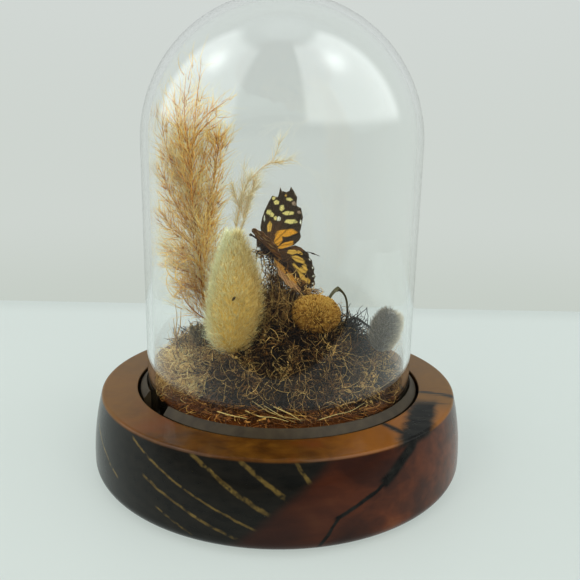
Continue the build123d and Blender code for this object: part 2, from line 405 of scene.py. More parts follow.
def make_world():
    """A pale wall ahead, a dimmer room behind the camera, a bright ceiling and two soft boxes."""
    world = bpy.data.worlds.new("studio")
    bpy.context.scene.world = world
    world.use_nodes = True
    tree = world.node_tree
    tree.nodes.clear()
    direction = put(tree, "TexCoord").outputs["Generated"]
    axes = put(tree, "SeparateXYZ", {0: direction}).outputs
    degrees = 180 / math.pi
    azimuth = times(tree, calc(tree, "ARCTAN2", axes[0], times(tree, axes[1], -1.0)), degrees)
    elevation = times(tree, calc(tree, "ARCSINE", axes[2]), degrees)
    glow = reduce(
        lambda one, other: plus(tree, one, other),
        [soft_box(tree, direction, azimuth, elevation, *box) for box in SOFT_BOXES],
    )
    room = {"Color": room_colour(tree, axes[1], elevation), "Strength": 1.0}
    background = put(tree, "Background", room)
    boxes = put(tree, "Background", {"Color": BOX_COLOUR, "Strength": glow})
    both = put(tree, "AddShader", {0: background.outputs[0], 1: boxes.outputs[0]})
    output = put(tree, "OutputWorld")
    tree.links.new(both.outputs[0], output.inputs["Surface"])


def room_colour(tree, ahead, elevation):
    """The wall in front, the darker room behind, and the ceiling, by direction."""
    wall = blend_colours(tree, smooth_step(tree, elevation, -14.0, -4.0), WALL_LOW_COLOUR, WALL_COLOUR)
    wall = blend_colours(tree, smooth_step(tree, elevation, 0.0, 26.0), wall, WALL_HIGH_COLOUR)
    room = blend_colours(tree, smooth_step(tree, elevation, -16.0, -6.0), DARK_COLOUR, ROOM_COLOUR)
    colour = blend_colours(tree, smooth_step(tree, ahead, -0.45, 0.35), room, wall)
    return blend_colours(tree, smooth_step(tree, elevation, 74.0, 84.0), colour, CEILING_COLOUR)


def soft_box(tree, direction, azimuth, elevation, sides, ends, hot_place, share):
    """The glow of one soft box, with a brighter spot in it."""
    across = window(tree, azimuth, *sides, BOX_EDGE)
    panel = times(tree, across, window(tree, elevation, *ends, BOX_EDGE), BOX_GLOW * share)
    a, e = map(math.radians, hot_place)
    centre = (math.sin(a) * math.cos(e), -math.cos(a) * math.cos(e), math.sin(e))
    dot = put(tree, "VectorMath", {0: direction, 1: centre}, operation="DOT_PRODUCT")
    closeness = calc(tree, "MAXIMUM", dot.outputs["Value"], 0.0)
    spot = calc(tree, "POWER", closeness, HOT_SPOT_POWER)
    return plus(tree, panel, times(tree, spot, HOT_SPOT_GLOW))


# Fill lights in front: name, place in metres, watts, colour
FILL_LIGHTS = [
    ("fill_left", (-0.38, -0.52, 0.42), 2.3, (1.0, 0.94, 0.84)),
    ("fill_right", (0.36, -0.55, 0.34), 1.2, (1.0, 0.93, 0.82)),
]
FILL_SIZE = 0.3
FILL_TARGET = (0.0, 0.0, 0.075)


def make_fill_lights():
    """Soft lights that brighten what stands in the dome and leave no reflection on the glass."""
    for name, place, watts, colour in FILL_LIGHTS:
        data = bpy.data.lights.new(name, "AREA")
        data.energy = watts
        data.color = colour
        data.size = FILL_SIZE
        light = bpy.data.objects.new(name, data)
        toward = Vector(FILL_TARGET) - Vector(place)
        light.rotation_euler = toward.to_track_quat("-Z", "Y").to_euler()
        light.location = place
        light.visible_camera = False
        light.visible_glossy = False
        light.visible_transmission = False
        bpy.context.scene.collection.objects.link(light)


FLOOR_BACK = 0.234
FLOOR_FRONT = -0.17
FLOOR_SIDE = 0.62
# How far from its back edge the table's painted glow begins to dim
FAR_EDGE = 0.039
FLOOR_COLOUR = (0.17, 0.18, 0.178)
# The table's painted glow: fill light painted into its surface as emission
FLOOR_PAINTED_GLOW = (0.43, 0.475, 0.452)
# The table's painted glow fades towards the front into a painted shadow, from here to there
PAINTED_SHADOW_FADE = (-0.075, -0.155)


def make_floor():
    """The white table top, lifted by a painted glow that evens out its shadows, with a painted shadow towards
    the front.
    """
    material, output = new_material("table_top")
    tree = material.node_tree
    place = put(tree, "TexCoord").outputs["Object"]
    depth = put(tree, "SeparateXYZ", {0: place}).outputs[1]
    paler = scaled(FLOOR_COLOUR, 1.04)
    painted_front_shadow = smooth_step(tree, depth, *PAINTED_SHADOW_FADE)
    far = smooth_step(tree, depth, FLOOR_BACK - FAR_EDGE, FLOOR_BACK)
    painted_glow = blend_colours(tree, far, FLOOR_PAINTED_GLOW, scaled(FLOOR_PAINTED_GLOW, 0.88))
    settings = {
        "Base Color": blend_colours(tree, object_noise(tree, 6.0), FLOOR_COLOUR, paler),
        "Roughness": 0.5,
        "Specular IOR Level": 0.2,
        # painted light: the table glows, a little dimmer at its back edge, fading to a painted shadow at the
        # front
        "Emission Color": blend_colours(tree, painted_front_shadow, painted_glow, scaled(FLOOR_PAINTED_GLOW, 0.2)),
        "Emission Strength": 1.0,
    }
    finish_surface(tree, output, settings)
    verts = [
        (-FLOOR_SIDE, FLOOR_FRONT, 0),
        (FLOOR_SIDE, FLOOR_FRONT, 0),
        (FLOOR_SIDE, FLOOR_BACK, 0),
        (-FLOOR_SIDE, FLOOR_BACK, 0),
    ]
    mesh = bpy.data.meshes.new("table_top")
    mesh.from_pydata(verts, [], [(0, 1, 2, 3)])
    mesh.materials.append(material)
    floor = bpy.data.objects.new("table_top", mesh)
    bpy.context.scene.collection.objects.link(floor)


def scaled(colour, share):
    """A colour made lighter or darker."""
    return tuple(share * channel for channel in colour)


# ---------------------------------------------------------------- glass


def glass_material():
    """Clear glass that lets the room light through to what stands inside."""
    material, output = new_material("clear_glass")
    tree = material.node_tree
    colour = (0.985, 0.995, 0.99, 1)
    inputs = {"Base Color": colour, "Roughness": 0.0, "IOR": 1.47, "Transmission Weight": 1.0}
    shader = put(tree, "BsdfPrincipled", inputs).outputs[0]
    open_air = put(tree, "BsdfTransparent", {"Color": (0.93, 0.95, 0.94, 1)}).outputs[0]
    path = put(tree, "LightPath").outputs
    for ray in ("Is Diffuse Ray", "Is Shadow Ray"):
        shader = put(tree, "MixShader", {0: path[ray], 1: shader, 2: open_air}).outputs[0]
    tree.links.new(shader, output.inputs["Surface"])
    return material


DOME_SEGMENTS = 320
DOME_ROWS = 80
RIM_ROUNDING = 0.9 * MM
RIM_ROWS = 13
TUBE_ROWS = 24


def make_glass():
    """The dome: a tube with a rounded rim, closed by a half sphere."""
    rim = glass_low.z + RIM_ROUNDING
    middle = (DOME_RADIUS + INNER_RADIUS) / 2
    turn = np.linspace(0, math.pi, RIM_ROWS)[::-1]
    profile = [(middle + GLASS_WALL / 2 * math.cos(a), rim - RIM_ROUNDING * math.sin(a)) for a in turn]
    heights = np.linspace(rim, DOME_CENTRE_Z, TUBE_ROWS)[1:]
    arc = np.linspace(0, math.pi / 2, DOME_ROWS)[1:-1]
    outer = [(DOME_RADIUS, h) for h in heights]
    outer += [(DOME_RADIUS * math.cos(a), DOME_CENTRE_Z + DOME_RADIUS * math.sin(a)) for a in arc]
    inner = [(INNER_RADIUS * math.cos(a), DOME_CENTRE_Z + INNER_RADIUS * math.sin(a)) for a in arc[::-1]]
    inner += [(INNER_RADIUS, h) for h in heights[::-1]]
    verts, faces = lathe(profile + outer + inner, DOME_SEGMENTS)
    inner_ring = (len(profile) + len(outer)) * DOME_SEGMENTS
    outer_ring = inner_ring - DOME_SEGMENTS
    faces = [face for face in faces if not outer_ring <= face[0] < inner_ring]
    outer_pole = len(verts)
    verts = np.vstack([verts, [[0, 0, glass_high.z], [0, 0, DOME_CENTRE_Z + INNER_RADIUS]]])
    for side in range(DOME_SEGMENTS):
        after = (side + 1) % DOME_SEGMENTS
        faces.append([outer_ring + side, outer_ring + after, outer_pole])
        faces.append([inner_ring + after, inner_ring + side, outer_pole + 1])
    add_piece("glass_shell", verts, faces, glass_material(), ("glass_dome",), body="dome")


# ---------------------------------------------------------------- wooden base, strip and felt

# Growth lines on the dark side, as (azimuth in degrees, height in mm) from end to end, and width in mm
GROWTH_LINES = [
    ((-131, 27.2), (-94, 9.0), 0.5),
    ((-111, 28.4), (-91, 13.6), 0.95),
    ((-98, 28.4), (-86.5, 18.0), 0.9),
    ((-84.5, 28.2), (-81, 22.4), 0.8),
    ((-125, 17.8), (-97.5, 5.2), 0.6),
    ((-120, 9.6), (-110, 4.6), 0.45),
    ((-168, 27.5), (-136, 12.0), 0.6),
    ((155, 25.0), (178, 12.0), 0.7),
]
# The black knot's crack, from the top edge down and round to the foot
CRACK_LINES = [
    ((-49, 29.0), (-62, 18.6), 2.6),
    ((-60, 19.6), (-75, 11.2), 0.9),
    ((-74, 11.8), (-79, 3.0), 0.8),
]
SIDE_MM_PER_DEGREE = 1.19


def line_mask(tree, across, height, line, ragged):
    """1 along a line drawn in (degrees, mm) on the turned side, fading at its edges and ends."""
    (a0, z0), (a1, z1), width = line
    run = Vector(((a1 - a0) * SIDE_MM_PER_DEGREE, z1 - z0))
    length = run.length
    run.normalize()
    u = times(tree, minus(tree, across, a0), SIDE_MM_PER_DEGREE)
    v = minus(tree, height, z0)
    along = plus(tree, times(tree, u, run.x), times(tree, v, run.y))
    off = minus(tree, times(tree, v, run.x), times(tree, u, run.y))
    distance = calc(tree, "ABSOLUTE", plus(tree, off, ragged))
    body = smooth_step(tree, distance, width, width * 0.35)
    return times(tree, body, window(tree, along, 0.0, length, 1.0))


def lines_mask(tree, across, height, lines, ragged):
    """1 along any of several lines."""
    masks = [line_mask(tree, across, height, line, ragged) for line in lines]
    return reduce(lambda one, other: calc(tree, "MAXIMUM", one, other), masks)


def red_wood(tree, azimuth, broad, streak):
    """The right-hand side: red-brown to orange-brown, with painted shade darkening it from the front round to
    the left, towards the heart.
    """
    figure = plus(tree, times(tree, broad, 0.75), times(tree, streak, 0.3))
    stops = [
        (0.3, (0.012, 0.003, 0.002)),
        (0.5, (0.045, 0.010, 0.002)),
        (0.66, (0.105, 0.025, 0.005)),
        (0.85, (0.19, 0.065, 0.018)),
    ]
    red = ramp(tree, figure, stops)
    # painted shade: the red is darkened from the front round to the left
    painted_shade = smooth_step(tree, azimuth, -92.0, -48.0)
    return blend_colours(tree, painted_shade, blend_colours(tree, 0.75, red, (0.014, 0.005, 0.004)), red)


def heart_wood(tree, red, x, z, azimuth, fine, wobble, ragged):
    """The red wood, and the black heart on the left cut off by a slanting plane, with gold lines."""
    black = ramp(tree, fine, [(0.3, (0.003, 0.003, 0.002)), (0.75, (0.012, 0.010, 0.007))])
    edge = minus(tree, times(tree, z, 1.13), minus(tree, x, times(tree, wobble, 1.8)))
    heart = smooth_step(tree, edge, 11.5, 18.0)
    side = blend_colours(tree, heart, red, black)
    broken = smooth_step(tree, object_noise(tree, 330, detail=2), 0.30, 0.52)
    lines = times(tree, lines_mask(tree, azimuth, z, GROWTH_LINES, ragged), heart, broken)
    gold = ramp(tree, fine, [(0.3, (0.05, 0.032, 0.009)), (0.7, (0.15, 0.105, 0.03))])
    return blend_colours(tree, lines, side, gold)


def golden_top(tree, x, y, fine, broad, blotch):
    """The flat top: golden brown, paler at both sides as a painted reflection of the side lights, redder at
    the right front and on the boss.
    """
    stops = [
        (0.25, (0.025, 0.008, 0.001)),
        (0.45, (0.065, 0.024, 0.002)),
        (0.62, (0.105, 0.044, 0.004)),
        (0.85, (0.18, 0.085, 0.012)),
    ]
    top = ramp(tree, plus(tree, times(tree, blotch, 0.6), times(tree, fine, 0.4)), stops)
    top = blend_colours(tree, smooth_step(tree, broad, 0.5, 0.75), top, (0.10, 0.028, 0.003))
    # painted reflection: paler towards both sides, where the side lights reflect in the varnish
    outer = smooth_step(tree, calc(tree, "ABSOLUTE", x), 30.0, 58.0)
    top = blend_colours(tree, times(tree, outer, 0.55), top, (0.2, 0.105, 0.032))
    reddish = times(tree, smooth_step(tree, x, 8.0, 30.0), smooth_step(tree, y, -22.0, -34.0), 0.55)
    top = blend_colours(tree, reddish, top, (0.25, 0.09, 0.008))
    flat = put(tree, "CombineXYZ", {0: x, 1: y}).outputs[0]
    reach = put(tree, "VectorMath", {0: flat}, operation="LENGTH").outputs["Value"]
    return blend_colours(tree, smooth_step(tree, reach, 49.0, 47.0), top, (0.10, 0.03, 0.006))


def knot_mask(tree, x, y, z, azimuth, wobble, ragged):
    """1 on the black knot: a band across the top at the right and a crack down the side."""
    knot_x = minus(tree, x, times(tree, wobble, 3.4))
    slant = plus(tree, times(tree, knot_x, 0.93), times(tree, plus(tree, y, 40.0), -0.32))
    band = smooth_step(tree, calc(tree, "ABSOLUTE", minus(tree, slant, 43.5)), 5.8, 2.6)
    band = times(tree, band, smooth_step(tree, y, -19.0, -27.0), smooth_step(tree, z, 26.0, 28.4))
    return calc(tree, "MAXIMUM", band, lines_mask(tree, azimuth, z, CRACK_LINES, ragged))


def wood_material():
    """Varnished turned wood: golden top, black heart with gold growth lines, red-brown right side."""
    material, output = new_material("varnished_wood")
    tree = material.node_tree
    place = put(tree, "TexCoord").outputs["Object"]
    millimetres = put(tree, "VectorMath", {0: place, "Scale": 1000.0}, operation="SCALE").outputs[0]
    x, y, z = put(tree, "SeparateXYZ", {0: millimetres}).outputs
    azimuth = times(tree, calc(tree, "ARCTAN2", y, x), 180 / math.pi)
    fine = object_noise(tree, 420, detail=5, stretch=(0.35, 1, 1))
    broad = object_noise(tree, 42, detail=3, distortion=0.6)
    blotch = object_noise(tree, 110, detail=4, distortion=1.2)
    streak = object_noise(tree, 300, detail=4, stretch=(0.12, 1, 1), distortion=0.4)
    wobble = times(tree, minus(tree, blotch, 0.5), 1.5)
    ragged = times(tree, minus(tree, object_noise(tree, 260, detail=3), 0.5), 1.2)
    red = red_wood(tree, azimuth, broad, streak)
    side = heart_wood(tree, red, x, z, azimuth, fine, wobble, ragged)
    face = smooth_step(tree, z, 27.9, 28.7)
    wood = blend_colours(tree, face, side, golden_top(tree, x, y, fine, broad, blotch))
    knot = knot_mask(tree, x, y, z, azimuth, wobble, ragged)
    pitch = ramp(tree, fine, [(0.35, (0.002, 0.002, 0.002)), (0.8, (0.02, 0.02, 0.017))])
    wood = blend_colours(tree, knot, wood, pitch)
    # dark grain streaks on the right of the top, beside the knot
    beside = smooth_step(tree, calc(tree, "ABSOLUTE", plus(tree, y, 17.0)), 11.0, 5.0)
    streaks = times(tree, smooth_step(tree, streak, 0.53, 0.62), smooth_step(tree, x, 44.0, 56.0))
    streaks = times(tree, streaks, beside, face)
    wood = blend_colours(tree, streaks, wood, (0.02, 0.018, 0.014))
    pits = smooth_step(tree, object_noise(tree, 700, detail=2), 0.62, 0.72)
    relief = minus(tree, times(tree, fine, 0.12), times(tree, pits, plus(tree, knot, 0.05)))
    # the varnish is thinner on the flat top and on the knot
    flat_top = smooth_step(tree, z, 28.8, 28.98)
    thinner = calc(tree, "MAXIMUM", times(tree, flat_top, 0.2), times(tree, knot, 0.4))
    settings = {
        "Base Color": wood,
        "Roughness": plus(tree, 0.35, times(tree, fine, 0.15)),
        "Specular IOR Level": 0.04,
        "Coat Weight": minus(tree, 0.68, thinner),
        "Coat Roughness": 0.07,
        "Coat IOR": 1.45,
        "Normal": bump(tree, relief, 0.25 * MM, 0.5),
    }
    finish_surface(tree, output, settings)
    return material


def strip_material():
    """Dark satin strip, a little scuffed along its length."""
    return plain_material(
        "soft_strip",
        lambda tree: object_noise(tree, 240, detail=5),
        [(0.3, (0.026, 0.018, 0.009)), (0.7, (0.05, 0.037, 0.02))],
        {"Roughness": 0.45, "Specular IOR Level": 0.3},
        0.05 * MM,
        0.5,
        lambda tree: object_noise(tree, 1500, detail=3),
    )


def felt_material():
    """Green felt under the base."""
    return plain_material(
        "felt",
        lambda tree: object_noise(tree, 2500, detail=6),
        [(0.3, (0.015, 0.045, 0.025)), (0.7, (0.04, 0.10, 0.06))],
        {"Roughness": 0.95, "Sheen Weight": 0.4},
        0.2 * MM,
        0.8,
    )


def foam_cells(tree):
    """The fine cells of florist's foam."""
    place = put(tree, "TexCoord").outputs["Object"]
    return put(tree, "TexVoronoi", {"Vector": place, "Scale": 2200.0}).outputs["Distance"]


def foam_material():
    """Florist's foam: green and finely pitted."""
    return plain_material(
        "florist_foam",
        foam_cells,
        [(0.1, (0.03, 0.10, 0.05)), (0.6, (0.08, 0.22, 0.11))],
        {"Roughness": 0.9},
        0.2 * MM,
        0.8,
    )


def wire_material():
    """Thin florist's wire."""
    material, output = new_material("wire")
    tree = material.node_tree
    stain = object_noise(tree, 500)
    settings = {
        "Base Color": ramp(tree, stain, [(0.3, (0.05, 0.045, 0.04)), (0.7, (0.16, 0.15, 0.13))]),
        "Metallic": 1.0,
        "Roughness": 0.35,
    }
    finish_surface(tree, output, settings)
    return material


def dress_node(node, material):
    """Gives a CAD node its finished material."""
    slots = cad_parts[node].data.materials
    slots.clear()
    slots.append(material)


# ---------------------------------------------------------------- moss, coir and loose bits

MOUND_CENTRE_MM = (4.0, 1.0)
MOUND_SEMI_MM = (41.5, 37.0)
MOUND_HEIGHT_MM = 24.0
PAD_CENTRE_MM = (-30.0, -5.0)
PAD_SEMI_MM = (15.2, 18.0)
PAD_HEIGHT_MM = 13.5


def heap_height(x, y, centre, semi, height):
    """Height in mm of a rounded heap over the bed."""
    reach = ((x - centre[0]) / semi[0]) ** 2 + ((y - centre[1]) / semi[1]) ** 2
    return height * np.maximum(0, 1 - reach) ** 0.55


def moss_height(x, y):
    """Height in mm of all the moss over the bed, with lumps."""
    lumps = (
        1.5 * np.sin(0.33 * x + 1.3) * np.cos(0.29 * y - 0.4)
        + 1.0 * np.sin(0.71 * x - 0.55 * y)
        + 0.7 * np.cos(1.1 * y + 0.6 * x)
    )
    shoulder = 1 - 0.38 * np.clip((x - 18) / 12, 0, 1)
    mound = heap_height(x, y, MOUND_CENTRE_MM, MOUND_SEMI_MM, MOUND_HEIGHT_MM) * shoulder
    pad = heap_height(x, y, PAD_CENTRE_MM, PAD_SEMI_MM, PAD_HEIGHT_MM)
    height = np.maximum(mound, pad)
    return height + lumps * np.minimum(1, height / 6)


def heap_points(count, centre, semi, rng):
    """Random (x, y) in mm inside a heap's outline, a little denser towards its rim."""
    angle = rng.uniform(0, 2 * math.pi, count)
    reach = rng.uniform(0, 1, count) ** 0.45
    x = centre[0] + semi[0] * reach * np.cos(angle)
    y = centre[1] + semi[1] * reach * np.sin(angle)
    return x, y


HEAP_RINGS = 34
HEAP_SPOKES = 96
# The body stays this share inside the heap's outline, and its underside this many mm over the bed
HEAP_SHARE = 0.97
HEAP_FOOT_MM = 0.05


def heap_mesh(name, centre, semi, material, slot, node):
    """The solid body of a heap under its fibres."""
    spokes = HEAP_SPOKES
    angle = even_angles(spokes)
    verts = [(*centre, moss_height(*map(np.float64, centre)) - 1.0)]
    for ring in range(1, HEAP_RINGS + 1):
        reach = HEAP_SHARE * ring / HEAP_RINGS
        x = centre[0] + semi[0] * reach * np.cos(angle)
        y = centre[1] + semi[1] * reach * np.sin(angle)
        verts += list(zip(x, y, np.maximum(moss_height(x, y) - 1.0, 0.15)))
    verts.append((*centre, HEAP_FOOT_MM))
    verts += list(zip(x, y, np.full(spokes, HEAP_FOOT_MM)))
    faces = [[0, 1 + side, 1 + (side + 1) % spokes] for side in range(spokes)]
    for ring in range(HEAP_RINGS - 1):
        here, there = 1 + ring * spokes, 1 + (ring + 1) * spokes
        for side in range(spokes):
            after = (side + 1) % spokes
            faces.append([here + side, there + side, there + after, here + after])
    rim, foot = 1 + (HEAP_RINGS - 1) * spokes, 2 + HEAP_RINGS * spokes
    for side in range(spokes):
        after = (side + 1) % spokes
        faces.append([rim + side, foot + side, foot + after, rim + after])
        faces.append([foot + after, foot + side, foot - 1])
    points = np.array(verts) * MM + BED
    tones = 0.3 + 0.2 * np.sin(points[:, 0] * 700) * np.cos(points[:, 1] * 650)
    add_piece(name, keep_in_glass(points), faces, material, (node,), tones=tones)


# Centre and radius in mm of the painted shade at the front of the moss
PAINTED_SHADE_CENTRE_MM = (7.0, -15.0)
PAINTED_SHADE_RADIUS_MM = 15.0


def moss_patches_and_shade(points):
    """How much paler or darker the moss is at these places: patches, and painted shade in front."""
    x, y = points[:, 0] / MM, points[:, 1] / MM
    patches = 0.20 * np.sin(0.42 * x + 0.25 * y + 0.6) + 0.16 * np.sin(0.30 * x - 0.61 * y + 2.0)
    off = np.hypot(x - PAINTED_SHADE_CENTRE_MM[0], y - PAINTED_SHADE_CENTRE_MM[1]) / PAINTED_SHADE_RADIUS_MM
    # painted shade: darker round a spot at the front of the mound
    return patches - 0.3 * np.exp(-(off**2))


def moss_starts(count, area, rng, sink):
    """Random places on the moss in metres, and the directions out of it there."""
    x, y = heap_points(count, *area, rng)
    z = moss_height(x, y) - sink * rng.uniform(0, 1.6, count)
    step = 0.5
    slope_x = (moss_height(x + step, y) - moss_height(x - step, y)) / (2 * step)
    slope_y = (moss_height(x, y + step) - moss_height(x, y - step)) / (2 * step)
    normals = unit(np.stack([-slope_x, -slope_y, np.ones(count)], axis=1))
    return np.stack([x, y, z], axis=1) * MM + BED, normals


def over_wood(paths):
    """Paths lifted clear of the wood and kept inside the glass."""
    paths[..., 2] = np.maximum(paths[..., 2], BASE_TOP + WOOD_GAP)
    return keep_in_glass(paths)


def moss_strands(name, count, area, lengths, thick, tones, curl, lift, sink, material, slot):
    """Tangled fibres over a heap, lying on it but for their lift."""
    rng = random_source(name)
    starts, normal = moss_starts(count, area, rng, sink)
    flat = rng.normal(size=(count, 3))
    flat -= normal * np.sum(flat * normal, axis=1, keepdims=True)
    heading = unit(flat) + normal * lift * rng.uniform(0, 1, size=(count, 1))
    length = rng.uniform(*lengths, count) * MM
    paths = over_wood(grow(starts, heading, length, 6, rng, curl=curl, wander=0.16, pull=(0, 0, -0.05)))
    radii = taper(count, 7, thick * MM, thick * 0.4 * MM, rng)
    shades = rng.uniform(*tones, count) + moss_patches_and_shade(starts)
    add_parts(name, [strand_arrays(paths, radii, shades, rng)], material, slot)


def moss_flakes(area, material):
    """Clumps of curled tan and orange scraps caught in the moss."""
    rng = random_source("moss_flakes")
    clumps, each = 75, 11
    count = clumps * each
    centres, normals = moss_starts(clumps, area, rng, 0.2)
    starts = np.repeat(centres, each, axis=0) + rng.normal(size=(count, 3)) * 1.1 * MM
    heading = np.repeat(normals, each, axis=0) * 0.5 + rng.normal(size=(count, 3)) * 0.7
    sizes = rng.uniform(2.0, 5.5, count) * MM
    paths = over_wood(grow(starts, heading, sizes, 6, rng, curl=0.75, wander=0.2))
    swell = np.array([0.25, 0.7, 1.0, 0.95, 0.7, 0.4, 0.12])
    radii = swell[None] * rng.uniform(0.22, 0.5, size=(count, 1)) * MM
    tones = np.repeat(rng.uniform(0.55, 1.25, clumps) + moss_patches_and_shade(centres), each)
    flakes = strand_arrays(paths, radii, tones, rng, sides=4, flatness=0.22)
    add_parts("moss_flakes", [flakes], material, "dark_moss")


# Layers of threads: name, count, lengths in mm, thickness in mm, tones, curl, lift, depth of the roots
MOUND_THREADS = [
    ("moss_dark_threads", 5000, (5, 12), 0.19, (0.0, 0.5), 0.5, 0.25, 1.0),
    ("moss_brown_threads", 3800, (4, 10), 0.15, (0.3, 0.85), 0.8, 0.5, 0.8),
    ("moss_tan_threads", 3100, (4, 13), 0.115, (0.6, 1.25), 0.75, 0.6, 0.2),
]
STRAY_THREADS = ("moss_stray_threads", 1200, (4, 12), 0.12, (0.0, 0.9), 0.7, 0.5, 0.2)
PAD_THREADS = ("moss_pad_threads", 4300, (4, 9), 0.13, (0.1, 1.0), 0.9, 0.5, 1.0)
# The wisps under the butterfly: middle and half sizes of their patch in mm
WISP_AREA = ((-1.0, -1.0), (10.0, 8.0))
# Nothing of the moss comes nearer to the wood than this
WOOD_GAP = 0.3 * MM


def make_moss():
    """Dark mound and paler pad: a lumpy body each, layers of tangled fibres, wisps and scraps."""
    dark = fibre_material(
        "dark_moss",
        [
            (0.0, (0.008, 0.005, 0.005)),
            (0.4, (0.042, 0.024, 0.012)),
            (0.7, (0.25, 0.115, 0.03)),
            (1.0, (0.70, 0.47, 0.17)),
        ],
        roughness=0.8,
        mottle=0.35,
    )
    pale = fibre_material(
        "pale_moss",
        [
            (0.0, (0.12, 0.055, 0.015)),
            (0.35, (0.50, 0.29, 0.08)),
            (0.7, (0.84, 0.60, 0.23)),
            (1.0, (0.95, 0.80, 0.42)),
        ],
        roughness=0.75,
    )
    mound_area = (MOUND_CENTRE_MM, MOUND_SEMI_MM)
    pad_area = (PAD_CENTRE_MM, PAD_SEMI_MM)
    stray_area = (PAD_CENTRE_MM, (1.45 * PAD_SEMI_MM[0], 1.1 * PAD_SEMI_MM[1]))
    heap_mesh("moss_mound_body", *mound_area, dark, "dark_moss", "moss_mound")
    heap_mesh("moss_pad_body", *pad_area, pale, "pale_moss", "moss_pad_left")
    for name, count, *layer in MOUND_THREADS:
        moss_strands(name, count, mound_area, *layer, dark, "dark_moss")
    moss_strands(*STRAY_THREADS[:2], stray_area, *STRAY_THREADS[2:], pale, "pale_moss")
    moss_flakes(mound_area, dark)
    moss_strands(*PAD_THREADS[:2], pad_area, *PAD_THREADS[2:], pale, "pale_moss")
    moss_wisps(dark)
    moss_scraps(dark)


def moss_wisps(material):
    """Wiry wisps that stand up under the butterfly and stop short of it."""
    rng = random_source("moss_wisps")
    count = 1150
    x, y = heap_points(count, *WISP_AREA, rng)
    starts = np.stack([x, y, moss_height(x, y) - 1], axis=1) * MM + BED
    heading = np.array([-0.05, -0.05, 1.0]) + rng.normal(size=(count, 3)) * np.array([0.5, 0.5, 0.25])
    tall = 1 - 0.4 * (np.hypot(x + 1, y + 1) / 10) ** 2
    sizes = rng.uniform(10, 27, count) * tall * MM
    paths = grow(starts, heading, sizes, 9, rng, curl=0.4, wander=0.16, pull=(0, 0, 0.03))
    under_body = 78.0 * MM - 0.93 * (paths[..., 0] + 7 * MM)
    paths[..., 2] = np.minimum(paths[..., 2], under_body)
    radii = taper(count, 10, 0.17 * MM, 0.07 * MM, rng)
    wisps = strand_arrays(paths, radii, rng.uniform(0.35, 1.15, count), rng)
    add_parts("moss_wisps", [wisps], material, "dark_moss")


# Where dry scraps hang about the butterfly: ends of a line in mm, scraps, spread in mm
SCRAP_LINES = [
    ((-8.6, -4.4, 79.0), (7.0, -5.2, 66.4), 80, (0.8, 1.2, 0.6)),
    ((-1.4, -2.2, 56.0), (-1.4, -2.6, 72.0), 230, (2.6, 1.6, 1.0)),
    ((5.5, -4.0, 67.4), (13.0, -4.0, 63.4), 90, (0.8, 1.0, 0.7)),
]


def moss_scraps(material):
    """Dry brown and tan scraps caught under the butterfly and along its near wing."""
    rng = random_source("moss_scraps")
    parts = []
    for low, high, count, spread in SCRAP_LINES:
        line = np.array(high, float) - np.array(low)
        starts = np.array(low) + rng.uniform(0, 1, size=(count, 1)) * line
        starts = (starts + rng.normal(size=(count, 3)) * np.array(spread)) * MM
        heading = unit(line) * rng.choice([-1, 1], size=(count, 1)) * 0.8
        heading = heading + rng.normal(size=(count, 3)) * 0.5
        paths = grow(starts, heading, rng.uniform(2.5, 7.0, count) * MM, 7, rng, curl=0.5, wander=0.18)
        radii = taper(count, 8, 0.2 * MM, 0.06 * MM, rng)
        parts.append(strand_arrays(paths, radii, rng.uniform(0.3, 1.2, count), rng))
    add_parts("moss_scraps", parts, material, "dark_moss")


COIR_RING_MM = (30.0, 45.4)


# Fibres and chips: count, lengths in mm, thickness in mm, flatness, sides
COIR_BITS = [(2600, (4, 13), 0.12, 1.0, 3), (700, (1.2, 3.4), 0.5, 0.18, 4)]


def make_coir():
    """Loose fibre and flakes on the wood round the foot of the moss."""
    rng = random_source("coir")
    coir = fibre_material(
        "coir",
        [
            (0.0, (0.02, 0.008, 0.004)),
            (0.4, (0.12, 0.04, 0.01)),
            (0.75, (0.42, 0.17, 0.035)),
            (1.0, (0.74, 0.46, 0.13)),
        ],
        roughness=0.55,
        gloss=0.4,
    )
    parts = []
    for count, length, thick, flatness, sides in COIR_BITS:
        angle = rng.uniform(0, 2 * math.pi, count)
        reach = rng.uniform(*COIR_RING_MM, count)
        height = rng.uniform(0.3, 2.6, count) * (1 - 0.5 * (reach - COIR_RING_MM[0]) / 16)
        starts = np.stack([reach * np.cos(angle), reach * np.sin(angle), height], axis=1) * MM
        starts[:, 2] += BASE_TOP
        heading = rng.normal(size=(count, 3)) * np.array([1, 1, 0.12])
        sizes = rng.uniform(*length, count) * MM
        paths = grow(starts, heading, sizes, 5, rng, curl=0.35, wander=0.1, pull=(0, 0, -0.04))
        paths[..., 2] = np.clip(paths[..., 2], BASE_TOP + 0.25 * MM, BASE_TOP + 6 * MM)
        radii = taper(count, 6, thick * MM, thick * 0.5 * MM, rng)
        tones = np.clip(rng.normal(0.45, 0.25, count), 0, 1)
        parts.append(strand_arrays(keep_in_glass(paths), radii, tones, rng, sides=sides, flatness=flatness))
    add_parts("coir_fibres", parts, coir, "coir", "coir_mat")


# ---------------------------------------------------------------- grasses

